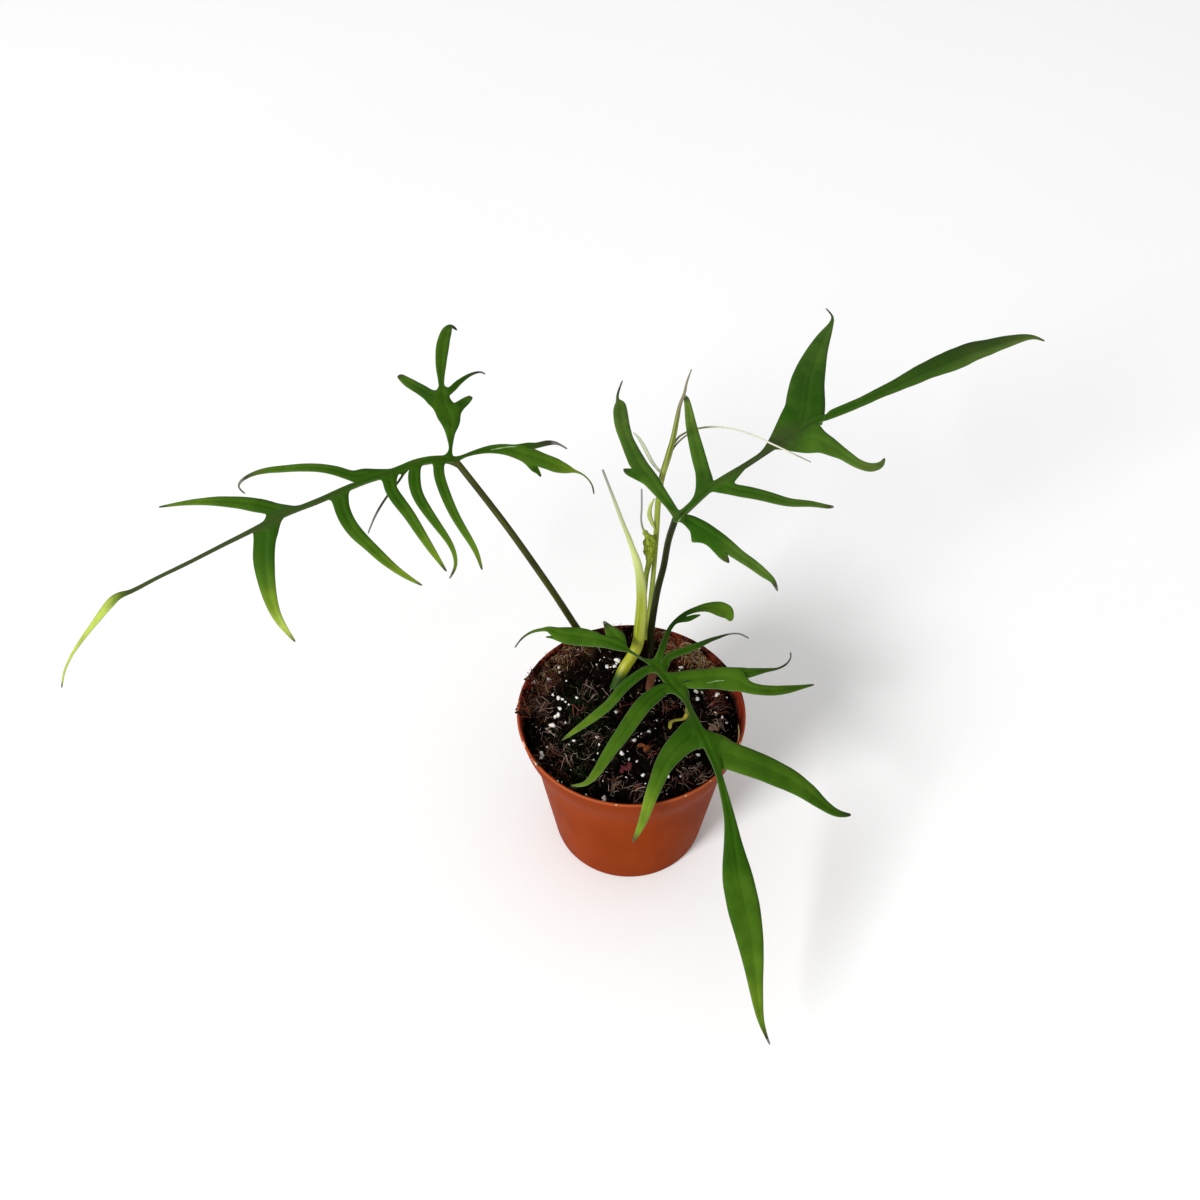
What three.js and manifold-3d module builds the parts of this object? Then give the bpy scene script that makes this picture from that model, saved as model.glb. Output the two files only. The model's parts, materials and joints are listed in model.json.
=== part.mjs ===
// Potted fern-leaf philodendron in a plain round plastic nursery pot.
// Millimetres, +Z up, origin at the centre of the pot's underside.
// +X is the right of the photograph and +Y points away from its camera.
import * as THREE from "three";
import Module from "manifold-3d";

// Driving sizes
const POT_HEIGHT = 98;
const RIM_RADIUS = 60;
const BASE_RADIUS = 41.5;
const WALL = 1.4;
const FLOOR = 2;
const COLLAR_BOTTOM = 79;
const DRAIN_COUNT = 8;
const DRAIN_RADIUS = 3.5;
const DRAIN_CIRCLE = 29;
const SOIL_LEVEL = 89;
const GAP = 0.3;
const STEM_DEPTH = 24;
const BLADE_HALF_THICKNESS = 0.4;
const POT_SIDES = 64;

const wasm = await Module();
wasm.setup();
const V = (x, y, z) => new THREE.Vector3(x, y, z);

// Body: a list of corner points and a list of triangles that close it
function toGeometry(body) {
  const geometry = new THREE.BufferGeometry();
  const flat = [];
  for (const p of body.points) flat.push(p.x, p.y, p.z);
  geometry.setAttribute("position", new THREE.Float32BufferAttribute(flat, 3));
  geometry.setIndex(body.faces.flat());
  return geometry;
}

function toManifold(body) {
  const vertProperties = new Float32Array(body.points.flatMap((p) => [p.x, p.y, p.z]));
  const triVerts = new Uint32Array(body.faces.flat());
  return new wasm.Manifold(new wasm.Mesh({ numProp: 3, vertProperties, triVerts }));
}

function fromManifold(solid) {
  const mesh = solid.getMesh();
  const points = [];
  const faces = [];
  for (let i = 0; i < mesh.numVert; i += 1) {
    const at = i * mesh.numProp;
    points.push(V(...mesh.vertProperties.slice(at, at + 3)));
  }
  for (let i = 0; i < mesh.numTri; i += 1) {
    faces.push([...mesh.triVerts.slice(3 * i, 3 * i + 3)]);
  }
  return { points, faces };
}

// Points and sizes read off a row list at a fraction of its control steps
function alongRows(rows, closedStart) {
  const curve = new THREE.CatmullRomCurve3(rows.map((r) => V(r[0], r[1], r[2])));
  const last = rows.length - 1;
  return (k) => {
    const i = Math.min(Math.floor(k), last - 1);
    const f = k - i;
    const ease = closedStart ? f : f * f * (3 - 2 * f);
    return {
      centre: curve.getPoint(k / last),
      heading: curve.getTangent(k / last),
      size: rows[i][3] * (1 - ease) + rows[i + 1][3] * ease,
    };
  };
}

// Closed sweep of a cross-section along hand-set rows [x, y, z, size]
function sweep(rows, facing, section, steps) {
  const at = alongRows(rows, true);
  const points = [];
  const faces = [];
  const count = (rows.length - 1) * steps;
  let ring = 0;
  for (let i = 0; i <= count; i += 1) {
    const row = at(i / steps);
    const u = new THREE.Vector3().crossVectors(facing, row.heading).normalize();
    const v = new THREE.Vector3().crossVectors(row.heading, u);
    const outline = section(row.size, i / count);
    ring = outline.length;
    for (const [a, b] of outline) {
      points.push(row.centre.clone().addScaledVector(u, a).addScaledVector(v, b));
    }
    if (i === 0) continue;
    for (let j = 0; j < ring; j += 1) {
      const next = (j + 1) % ring;
      const low = (i - 1) * ring;
      const high = i * ring;
      faces.push([low + j, low + next, high + next]);
      faces.push([low + j, high + next, high + j]);
    }
  }
  const cap = section(rows[0][3], 0).map(([a, b]) => new THREE.Vector2(a, b));
  for (const [a, b, c] of THREE.ShapeUtils.triangulateShape(cap, [])) {
    const top = count * ring;
    faces.push([c, b, a]);
    faces.push([top + a, top + b, top + c]);
  }
  return { points, faces };
}

const roundSection = (sides, flat = 1) => (size) =>
  Array.from({ length: sides }, (_, j) => {
    const turn = (2 * Math.PI * j) / sides;
    return [0.5 * size * Math.cos(turn), 0.5 * size * flat * Math.sin(turn)];
  });

// Gutter: a round skin open on one side, as a young sheath folds
function gutterSection(steps, skin, openTurn) {
  return (size) => {
    const outline = [];
    const outer = size / 2;
    for (let j = 0; j <= steps; j += 1) {
      const turn = openTurn + ((2 * Math.PI - 2 * openTurn) * j) / steps;
      outline.push([-outer * Math.sin(turn), outer * Math.cos(turn)]);
    }
    for (let j = steps; j >= 0; j -= 1) {
      const turn = openTurn + ((2 * Math.PI - 2 * openTurn) * j) / steps;
      outline.push([-(outer - skin) * Math.sin(turn), (outer - skin) * Math.cos(turn)]);
    }
    return outline;
  };
}

// Ring of an [x, z] profile about the pot's axis, the profile given counter-clockwise
function revolve(profile, sides) {
  const points = [];
  const faces = [];
  const n = profile.length;
  for (let i = 0; i < sides; i += 1) {
    const turn = (2 * Math.PI * i) / sides;
    for (const [r, z] of profile) points.push(V(r * Math.cos(turn), r * Math.sin(turn), z));
  }
  for (let i = 0; i < sides; i += 1) {
    const next = (i + 1) % sides;
    for (let j = 0; j < n - 1; j += 1) {
      faces.push([i * n + j, next * n + j, next * n + j + 1]);
      faces.push([i * n + j, next * n + j + 1, i * n + j + 1]);
    }
  }
  const low = points.push(V(0, 0, profile[0][1])) - 1;
  const high = points.push(V(0, 0, profile[n - 1][1])) - 1;
  for (let i = 0; i < sides; i += 1) {
    const next = (i + 1) % sides;
    faces.push([low, next * n, i * n]);
    faces.push([high, i * n + n - 1, next * n + n - 1]);
  }
  return { points, faces };
}

// Leaf sheet: strips of three columns that share edge points where a lobe grows
// out of its parent. The sheet is thickened alike on both faces, with the midrib
// standing out below.
function leafSheet(strips) {
  const points = [];
  const ribs = [];
  const faces = [];
  const laid = {};
  const push = (p, rib) => {
    points.push(p);
    ribs.push(rib);
    return points.length - 1;
  };
  const zip = (a, b) => {
    let i = 0;
    let j = 0;
    while (i < a.length - 1 || j < b.length - 1) {
      const nextA = i < a.length - 1 ? (i + 1) / (a.length - 1) : 2;
      const nextB = j < b.length - 1 ? (j + 1) / (b.length - 1) : 2;
      if (nextA <= nextB) {
        faces.push([a[i], a[i + 1], b[j]]);
        i += 1;
      } else {
        faces.push([a[i], b[j + 1], b[j]]);
        j += 1;
      }
    }
  };
  for (const strip of strips) {
    const parent = laid[strip.from];
    const up = V(...(strip.up ?? parent.up)).normalize();
    const upTip = V(...(strip.upTip ?? strip.up ?? parent.up)).normalize();
    const rib = strip.rib ?? 0.5;
    const fold = strip.fold ?? 0;
    const rows = [];
    const half = {};
    let controls = strip.rows;
    let start = 0;
    if (parent) {
      const reach = strip.reach ?? 1;
      let chain = [];
      if (strip.side === "start") {
        chain = [parent.rows[0][2], parent.rows[0][1], parent.rows[0][0]];
      } else {
        const column = strip.side === "left" ? 0 : 2;
        const middle = parent.half[2 * strip.at];
        for (let i = middle - reach; i <= middle + reach; i += 1) {
          chain.push(parent.rows[i][column]);
        }
        if (strip.side === "right") chain.reverse();
      }
      rows.push(chain);
      const root = points[chain[(chain.length - 1) / 2]];
      const span = points[chain[0]].distanceTo(points[chain[chain.length - 1]]);
      const first = strip.rows[0];
      const flare = first[3] + (strip.flare ?? 0.9) * (span - first[3]);
      controls = [[root.x, root.y, root.z, flare], ...strip.rows];
      start = root.distanceTo(V(first[0], first[1], first[2])) > 4 ? 1 : 2;
    }
    const at = alongRows(controls, false);
    const last = 2 * (controls.length - 1);
    for (let i = start; i <= last; i += 1) {
      const row = at(i / 2);
      const toTip = i / last;
      const lean = up.clone().lerp(upTip, toTip).normalize();
      const side = new THREE.Vector3().crossVectors(lean, row.heading).normalize();
      const normal = new THREE.Vector3().crossVectors(row.heading, side);
      const reach = Math.max(row.size, 1) / 2;
      const edge = row.centre.clone().addScaledVector(normal, fold * reach);
      const ribHere = rib * Math.min(1, 1.15 - toTip);
      half[parent ? i - 2 : i] = rows.length;
      rows.push([
        push(edge.clone().addScaledVector(side, reach), 0),
        push(row.centre, ribHere),
        push(edge.clone().addScaledVector(side, -reach), 0),
      ]);
    }
    for (let i = 0; i < rows.length - 1; i += 1) zip(rows[i], rows[i + 1]);
    laid[strip.name] = { rows, half, up: up.toArray() };
  }
  return thicken(points, ribs, faces);
}

function thicken(points, ribs, faces) {
  const normals = points.map(() => V(0, 0, 0));
  const edges = new Set();
  for (const [a, b, c] of faces) {
    const ab = points[b].clone().sub(points[a]);
    const ac = points[c].clone().sub(points[a]);
    const n = ab.cross(ac).normalize();
    for (const i of [a, b, c]) normals[i].add(n);
    for (const [i, j] of [[a, b], [b, c], [c, a]]) edges.add(`${i} ${j}`);
  }
  const n = points.length;
  const solid = { points: [], faces: [] };
  points.forEach((p, i) => {
    normals[i].normalize();
    solid.points.push(p.clone().addScaledVector(normals[i], BLADE_HALF_THICKNESS));
  });
  points.forEach((p, i) => {
    solid.points.push(p.clone().addScaledVector(normals[i], -BLADE_HALF_THICKNESS - ribs[i]));
  });
  for (const [a, b, c] of faces) {
    solid.faces.push([a, b, c]);
    solid.faces.push([c + n, b + n, a + n]);
    for (const [i, j] of [[a, b], [b, c], [c, a]]) {
      if (edges.has(`${j} ${i}`)) continue;
      solid.faces.push([j, i, i + n]);
      solid.faces.push([j, i + n, j + n]);
    }
  }
  return solid;
}

// Smooth bumps from a few crossed waves, the same every run
function bumps(x, y) {
  const a = Math.sin(0.41 * x + 0.9) * Math.sin(0.37 * y + 2.1);
  const b = Math.sin(0.83 * x - 0.52 * y + 0.4);
  const c = Math.sin(1.27 * y + 0.71 * x + 1.7);
  return 1.1 * a + 0.6 * b + 0.35 * c;
}

function soilTop(x, y) {
  const backLeft = Math.exp(-((x + 30) ** 2 + (y - 38) ** 2) / 500);
  const back = Math.exp(-((x - 12) ** 2 + (y - 48) ** 2) / 300);
  const frontDip = Math.exp(-((x + 18) ** 2 + (y + 40) ** 2) / 700);
  const heap = Math.max(0, y - 18) / 38;
  const low = SOIL_LEVEL + 1.5 * backLeft + 0.5 * back - 2.5 * frontDip + 8.5 * heap;
  return Math.min(low + bumps(x, y), POT_HEIGHT - 0.5);
}

// Outer face of the pot wall at a height, collar above a soft step
function potRadius(z) {
  const collarLow = RIM_RADIUS - 4;
  const bodyTop = RIM_RADIUS - 7.6;
  const bodyEnd = COLLAR_BOTTOM - 5;
  if (z >= COLLAR_BOTTOM) {
    const f = (z - COLLAR_BOTTOM) / (POT_HEIGHT - COLLAR_BOTTOM);
    return collarLow + (RIM_RADIUS - collarLow) * f;
  }
  if (z >= bodyEnd) {
    const f = (z - bodyEnd) / (COLLAR_BOTTOM - bodyEnd);
    return bodyTop + (collarLow - bodyTop) * f;
  }
  return BASE_RADIUS + (bodyTop - BASE_RADIUS) * (z / bodyEnd);
}

function potBody() {
  const heights = [2.5, 30, COLLAR_BOTTOM - 5, COLLAR_BOTTOM, POT_HEIGHT - 1.2];
  const outer = heights.map((z) => [potRadius(z), z]);
  const inner = [POT_HEIGHT - 0.6, COLLAR_BOTTOM, COLLAR_BOTTOM - 5, 30, FLOOR + 1.5].map((z) => [
    potRadius(z) - WALL,
    z,
  ]);
  const profile = [
    [BASE_RADIUS - 2.5, 0],
    [BASE_RADIUS - 0.6, 0.6],
    ...outer,
    [RIM_RADIUS + 0.1, POT_HEIGHT - 0.4],
    [RIM_RADIUS - 0.5, POT_HEIGHT],
    [RIM_RADIUS - 1.1, POT_HEIGHT],
    ...inner,
    [BASE_RADIUS - WALL - 1.5, FLOOR],
  ];
  let pot = toManifold(revolve(profile, POT_SIDES));
  for (let i = 0; i < DRAIN_COUNT; i += 1) {
    const turn = (2 * Math.PI * (i + 0.5)) / DRAIN_COUNT;
    const x = DRAIN_CIRCLE * Math.cos(turn);
    const y = DRAIN_CIRCLE * Math.sin(turn);
    const drill = [[x, y, -2, 2 * DRAIN_RADIUS], [x, y, FLOOR + 2, 2 * DRAIN_RADIUS]];
    pot = pot.subtract(toManifold(sweep(drill, V(0, 1, 0), roundSection(14), 1)));
  }
  return fromManifold(pot);
}

// Soil: fills the pot up to its bumpy top, a gap clear of the wall
function soilBody(stems) {
  const sides = 56;
  const rings = 11;
  const wallHeights = [FLOOR + GAP, 30, COLLAR_BOTTOM - 5, COLLAR_BOTTOM, 86];
  const profile = wallHeights.map((z) => [potRadius(z) - WALL - GAP - (z < 10 ? 1.5 : 0), z]);
  const body = revolve(profile, sides);
  const n = profile.length;
  body.points.pop();
  body.faces = body.faces.filter((f) => Math.max(...f) < sides * n + 1);
  const edge = potRadius(SOIL_LEVEL - 5) - WALL - GAP;
  let below = Array.from({ length: sides }, (_, i) => i * n + n - 1);
  for (let k = 0; k < rings; k += 1) {
    const r = edge * (1 - k / rings) ** 0.9;
    const row = below.map((_, i) => {
      const turn = (2 * Math.PI * (i + (k % 2) * 0.5)) / sides;
      const x = r * Math.cos(turn);
      const y = r * Math.sin(turn);
      return body.points.push(V(x, y, soilTop(x, y))) - 1;
    });
    for (let i = 0; i < sides; i += 1) {
      const next = (i + 1) % sides;
      if (k % 2) {
        body.faces.push([below[i], below[next], row[i]]);
        body.faces.push([below[next], row[next], row[i]]);
      } else {
        body.faces.push([below[i], below[next], row[next]]);
        body.faces.push([below[i], row[next], row[i]]);
      }
    }
    below = row;
  }
  const top = body.points.push(V(0, 0, soilTop(0, 0))) - 1;
  for (let i = 0; i < sides; i += 1) body.faces.push([below[i], below[(i + 1) % sides], top]);
  let soil = toManifold(body);
  for (const rows of stems) {
    const widen = (size) => (size + 2 * GAP) / Math.cos(Math.PI / 12);
    const hole = rows.slice(0, 4).map(([x, y, z, size]) => [x, y, z, widen(size)]);
    hole[0][2] -= GAP;
    soil = soil.subtract(toManifold(sweep(hole, V(0, -1, 0), roundSection(12), 2)));
  }
  return fromManifold(soil);
}

// Stems start below the soil: first row at the foot of the hole, second row above it
const FOOT = SOIL_LEVEL - STEM_DEPTH;
const petioleLeft = [
  [-14, 41, FOOT, 4],
  [-25, 46, 101, 3.9],
  [-31.5, 46, 117, 3.8],
  [-44.5, 44, 150, 3.6],
  [-60.5, 47, 182, 3.5],
  [-77.5, 57.5, 204, 3.4],
  [-86.8, 65, 213, 3.4],
];
const petioleRight = [
  [12, 37, FOOT, 4],
  [11, 41, 100, 3.9],
  [11, 41, 114, 3.8],
  [13, 39, 147, 3.7],
  [15.5, 35, 170, 3.4],
  [17, 32, 191, 3.3],
  [19.5, 26, 212.8, 3.3],
];
const petioleFront = [
  [8, 25, FOOT, 4.3],
  [11, 20, 99, 4.3],
  [12, 18, 108, 4.2],
  [12.6, 16, 114.4, 3.6],
];
const sheathRows = [
  [-15, 15, FOOT, 6.8],
  [-4, 26, 99, 6.8],
  [3, 34, 108, 6.5],
  [5, 37, 128, 6.3],
  [5, 37, 150, 5.4],
  [3, 37, 168, 4.3],
  [-1, 38, 184, 2.7],
  [-6, 37, 202, 2],
  [-11, 37, 220, 1.8],
  [-15, 38, 233, 1.7],
];
const shootRows = [
  [8, 44, FOOT, 3.3],
  [10, 53, 103, 3.2],
  [11, 56, 121, 2.8],
  [12, 58, 146, 2.6],
  [12.6, 59, 172, 3],
  [12.8, 59, 190, 3],
  [13.8, 59, 205, 2.9],
];
const oldSheathRows = [
  [0, 42, FOOT, 2.4],
  [4, 49, 102, 2.2],
  [7, 54, 124, 2],
  [8, 55, 143, 2],
  [9, 55, 151, 2.2],
  [9.6, 54.5, 157, 4.4],
  [9.6, 54.5, 162, 6],
  [9.4, 55, 166, 6.4],
  [9, 55.5, 169.3, 5.6],
  [7.6, 56.5, 171.6, 3],
  [5.8, 57.5, 174.5, 1.3],
  [4.6, 58, 180, 1.1],
  [4.6, 58, 190, 1.1],
  [4.3, 58, 202, 1],
];

// Leaf at the left: its stalk runs to the left, near lobes hang towards the viewer
const LEFT_UP = [-0.12, -0.3, 0.95];
const leftLeaf = [
  {
    name: "stalk",
    up: LEFT_UP,
    rib: 1.3,
    rows: [
      [-87, 67, 214.2, 3.6], [-90.5, 65.5, 215.2, 4.2], [-96, 65, 216, 4.3], [-102, 64, 216, 4.6],
      [-108, 62, 216, 4.4], [-113, 60, 215, 4.2], [-120, 57, 214, 4], [-129, 54, 213, 3.8],
      [-136, 51, 212, 3.6], [-144, 48, 210, 3.4], [-155, 43, 208, 3], [-164, 40, 206, 3],
      [-172, 37, 204, 3.2], [-179, 34, 202, 3.2], [-186, 31, 200, 2.4], [-202, 26, 194, 1.9],
      [-218, 20.5, 188, 1.8], [-233, 16.5, 182, 2], [-247, 13.5, 175, 2.5], [-253, 14, 172, 4.4],
      [-259, 13, 167, 6.4], [-266, 11, 159, 4.8], [-272, 9, 152, 3.6], [-278, 7, 145, 2.8],
      [-284, 5, 137, 1.9], [-289, 1, 129, 1.4], [-291, -4, 122, 1],
    ],
  },
  {
    name: "near 1",
    from: "stalk",
    side: "left",
    at: 2,
    flare: 0.5,
    up: [0, -0.5, 0.85],
    rows: [
      [-95.5, 57, 213, 5.6], [-92, 48, 208, 5.4], [-87.5, 40, 202, 4.7], [-82, 33, 196, 3.8],
      [-77, 27, 190, 2.9], [-74, 20, 184, 1.2],
    ],
  },
  {
    name: "near 2",
    from: "stalk",
    side: "left",
    at: 4,
    flare: 0.5,
    up: [0, -0.5, 0.85],
    rows: [
      [-107.5, 55, 213, 6.4], [-106, 48, 209, 6], [-101.5, 42, 204, 5.3], [-95.5, 36, 198, 4.2],
      [-90.5, 31, 193, 3.2], [-87.5, 26, 189, 2.4], [-87, 21, 185, 1.8], [-90, 17, 181, 1],
    ],
  },
  {
    name: "near thin",
    from: "stalk",
    side: "left",
    at: 5,
    flare: 0,
    up: [-0.6, -0.6, 0.5],
    rib: 0,
    rows: [
      [-115, 58, 209, 1.4], [-121, 57, 201, 1.4], [-129, 54, 189, 1.4], [-134, 51, 178, 1],
    ],
  },
  {
    name: "near 3",
    from: "stalk",
    side: "left",
    at: 6,
    flare: 0.5,
    up: [0, -0.5, 0.85],
    rows: [
      [-119, 50, 211, 6.4], [-115, 45, 207, 6.4], [-110, 40, 203, 5.9], [-105, 34, 198, 5.2],
      [-98.5, 26, 192, 3.8], [-91, 17, 186, 1.2],
    ],
  },
  {
    name: "near 4",
    from: "stalk",
    side: "left",
    at: 9,
    flare: 0.5,
    up: [0, -0.5, 0.85],
    rows: [
      [-142.5, 42, 206, 7.8], [-139.5, 36, 202, 7.4], [-135, 32, 197, 6.9], [-129.5, 28.5, 193, 5.8],
      [-123, 24.5, 188, 5.3], [-116.5, 21.5, 183, 3.8], [-110.5, 19.5, 179, 2.7], [-104, 18, 175, 1],
    ],
  },
  {
    name: "near 5",
    from: "stalk",
    side: "left",
    at: 13,
    reach: 2,
    up: [-0.1, -0.5, 0.85],
    rows: [
      [-179, 28, 198, 11.4], [-179.5, 20, 191, 11.3], [-178, 12, 185, 9.2], [-175.5, 4, 178, 6.5],
      [-171.5, -3, 172, 4.2], [-164, -10, 165, 1.2],
    ],
  },
  {
    name: "far 1",
    from: "stalk",
    side: "right",
    at: 7,
    reach: 2,
    up: [0, -0.2, 0.97],
    rows: [
      [-138, 57, 212, 6], [-148, 63.5, 210, 5.8], [-161, 70, 206, 5.5], [-175, 74.5, 201, 4.8],
      [-188, 77, 197, 3.8], [-196, 78, 193, 2.6], [-201, 76.8, 189.6, 1.8], [-202.1, 75.5, 187, 1.2],
      [-198.9, 73.5, 184.5, 1],
    ],
  },
  {
    name: "far 2",
    from: "stalk",
    side: "right",
    at: 12,
    reach: 2,
    up: [0, -0.2, 0.97],
    rows: [
      [-177.5, 44.5, 202, 8], [-186, 48, 201, 8.6], [-197, 53, 198, 7.6], [-210, 57, 195, 5.8],
      [-226, 61, 190, 3.2], [-241, 63, 185, 1.1],
    ],
  },
  {
    name: "back far",
    from: "stalk",
    side: "right",
    at: 1,
    flare: 0.2,
    up: [0.1, -0.35, 0.93],
    rows: [
      [-90.5, 73, 217, 1.9], [-91, 79.5, 220, 4.8], [-91, 84, 222, 9.2], [-92, 89, 223, 12],
      [-95, 95, 225, 11], [-96, 101, 226, 6.6], [-97, 108, 227, 2.9], [-97.6, 114, 228, 3.8],
      [-98, 121, 230, 5.7], [-98, 133, 232, 7.1], [-97, 146, 232, 6], [-95, 153, 231, 3],
      [-92, 153, 228, 1],
    ],
  },
  {
    name: "back far left",
    from: "back far",
    side: "left",
    at: 5,
    reach: 2,
    rows: [
      [-102.5, 103, 225, 7.4], [-108, 110, 223, 6.6], [-115, 118.5, 220.5, 6.2],
      [-121.5, 128, 218, 3.4],
    ],
  },
  {
    name: "back far short",
    from: "back far",
    side: "right",
    at: 3.5,
    rows: [
      [-87, 96, 224.3, 5.8], [-84.3, 101, 223.2, 4.8], [-81.8, 105, 222.5, 2.4],
    ],
  },
  {
    name: "back far thin",
    from: "back far",
    side: "right",
    at: 5.5,
    rows: [
      [-92.6, 104.5, 226.5, 4.2], [-89.2, 110, 226.8, 3.5], [-85.4, 115.5, 226.4, 2.5],
      [-81.5, 119.5, 226, 1.6], [-77.8, 122, 224.8, 1.2], [-75.7, 122, 223.5, 1],
    ],
  },
  {
    name: "back near",
    from: "stalk",
    side: "start",
    up: [-0.1, -0.45, 0.88],
    rows: [
      [-84, 68.5, 214.8, 1.8], [-76.5, 74, 213.2, 3.2], [-70, 76, 212.8, 4.8], [-63, 76.5, 212, 6.2],
      [-56.5, 76, 210, 7.5], [-50, 75.5, 207.7, 9.2], [-44, 75.5, 205, 7.8], [-38.5, 75.5, 202.2, 7.8],
      [-33.5, 75.5, 200, 5.4], [-29, 75.5, 198.3, 1.6], [-24.5, 75, 196, 1], [-20.5, 73, 191.5, 1],
      [-19.5, 71, 186.5, 1],
    ],
  },
  {
    name: "back near up",
    from: "back near",
    side: "left",
    at: 4,
    rows: [
      [-49, 80.5, 211, 3.2], [-43.5, 82.5, 211, 3.2], [-39.5, 83, 210.8, 2.2], [-36.5, 83, 209.5, 1.2],
      [-33, 82, 207.5, 1],
    ],
  },
  {
    name: "back near low",
    from: "back near",
    side: "right",
    at: 5,
    rows: [
      [-48, 71, 202.5, 2.8], [-46.2, 70, 199.6, 1.2],
    ],
  },
];

// Leaf at the right: its stalk rises to the back right
const RIGHT_UP = [-0.05, -0.3, 0.95];
const rightLeaf = [
  {
    name: "stalk",
    up: RIGHT_UP,
    rib: 1.3,
    fold: 0.2,
    rows: [
      [18.9, 21.9, 215, 3.2], [20.8, 24.2, 216, 3.4], [25.4, 28.5, 217.5, 3.6], [36, 40.3, 219, 3.6],
      [42, 45, 220.5, 3.4], [53.5, 53.5, 222, 2.6], [65, 62, 224, 2.4], [73, 68, 225, 2.7],
      [81, 73.5, 226, 3.2], [89, 79, 227, 3.5], [97, 84.5, 227, 5], [105.5, 89.5, 227, 5.4],
      [115.5, 96.5, 226, 5.6], [125, 104, 225, 6.2], [136, 112, 224, 7.6], [149, 123, 222, 10],
      [161.5, 133.5, 219, 12.2], [171.5, 141.5, 217, 13.2], [182.5, 151.5, 214, 12.6],
      [196.5, 163, 209.5, 10], [211.5, 175, 204.5, 7], [226, 185.5, 199, 3.4], [234, 187, 195, 1],
    ],
  },
  {
    name: "back far",
    from: "stalk",
    side: "left",
    at: 1,
    flare: 0.2,
    up: [0.15, -0.35, 0.93],
    rows: [
      [17.4, 33, 214.6, 4.9], [13, 41, 215.4, 6.4], [7.9, 50.5, 216, 8.9], [3, 61, 215, 9.8],
      [0, 73, 213, 8.6], [-3, 85, 211.5, 7.3], [-5, 97, 210, 8.3], [-5.8, 112, 207, 8],
      [-5.7, 120, 205.8, 5.8], [-7.2, 124, 204.9, 1.8], [-6.5, 134, 202.4, 1.3], [-4.2, 147, 199, 1],
    ],
  },
  {
    name: "back far barb",
    from: "back far",
    side: "left",
    at: 2.5,
    rows: [[-4.8, 60.5, 213.5, 1.2]],
  },
  {
    name: "far 1",
    from: "stalk",
    side: "left",
    at: 3,
    flare: 0.5,
    up: [0.1, -0.45, 0.9],
    rows: [
      [33.5, 53, 219, 7.6], [32.3, 60, 219.8, 7.6], [31, 67, 221.4, 7.2], [28.8, 80, 225, 5.8],
      [27.7, 89, 228, 4.2], [26.9, 94.5, 229.5, 3.1], [25.8, 96.5, 230.5, 1.4],
    ],
  },
  {
    name: "near 1",
    from: "stalk",
    side: "right",
    at: 4,
    reach: 2,
    up: [0.1, -0.4, 0.9],
    rows: [
      [46, 40.5, 219, 6.6], [56, 41, 216, 6.4], [66, 42, 212, 6], [76, 43.5, 207, 4.7],
      [87, 48, 202, 3.5], [97, 51.5, 196.5, 2.4], [100, 52.5, 195.5, 1.4],
    ],
  },
  {
    name: "far 2",
    from: "stalk",
    side: "left",
    at: 8,
    reach: 4,
    flare: 0.1,
    up: [0.1, -0.25, 0.95],
    fold: 0.12,
    rows: [
      [85, 86, 226.5, 20.5], [87, 97, 226, 20.2], [89.5, 112, 225, 17.8], [93.5, 127, 223.5, 15],
      [98.5, 144, 221, 10.9], [104.5, 161, 218, 7.1], [110, 176, 214.5, 2.9], [112.5, 187, 212, 1.4],
      [110, 197, 210, 1],
    ],
  },
  {
    name: "near 2",
    from: "stalk",
    side: "right",
    at: 8,
    reach: 3,
    up: [0.15, -0.4, 0.9],
    rows: [
      [92, 69, 224, 12.4], [98, 68.5, 220.5, 9.8], [104, 67.5, 217, 7], [111, 65, 213, 5.6],
      [118, 66.5, 209, 5.2], [125, 73, 205, 3.5], [128, 80, 203, 1.2],
    ],
  },
  {
    name: "back near",
    from: "stalk",
    side: "right",
    at: 1,
    up: [0.1, -0.45, 0.9],
    rows: [
      [26.5, 24.5, 212.5, 7.4], [32, 21.5, 210.5, 9.3], [41, 17.5, 206.5, 8.2], [50, 14.5, 200, 6],
      [56.5, 12.5, 196, 5.6], [62, 10.5, 192, 4.9], [67, 9, 188, 3], [69, 5, 185, 1],
    ],
  },
  {
    name: "back near barb 1",
    from: "back near",
    side: "right",
    at: 1,
    rows: [[27.2, 15.5, 208, 1.2]],
  },
  {
    name: "back near barb 2",
    from: "back near",
    side: "right",
    at: 2,
    rows: [[45, 9.5, 200, 1.2]],
  },
];

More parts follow.
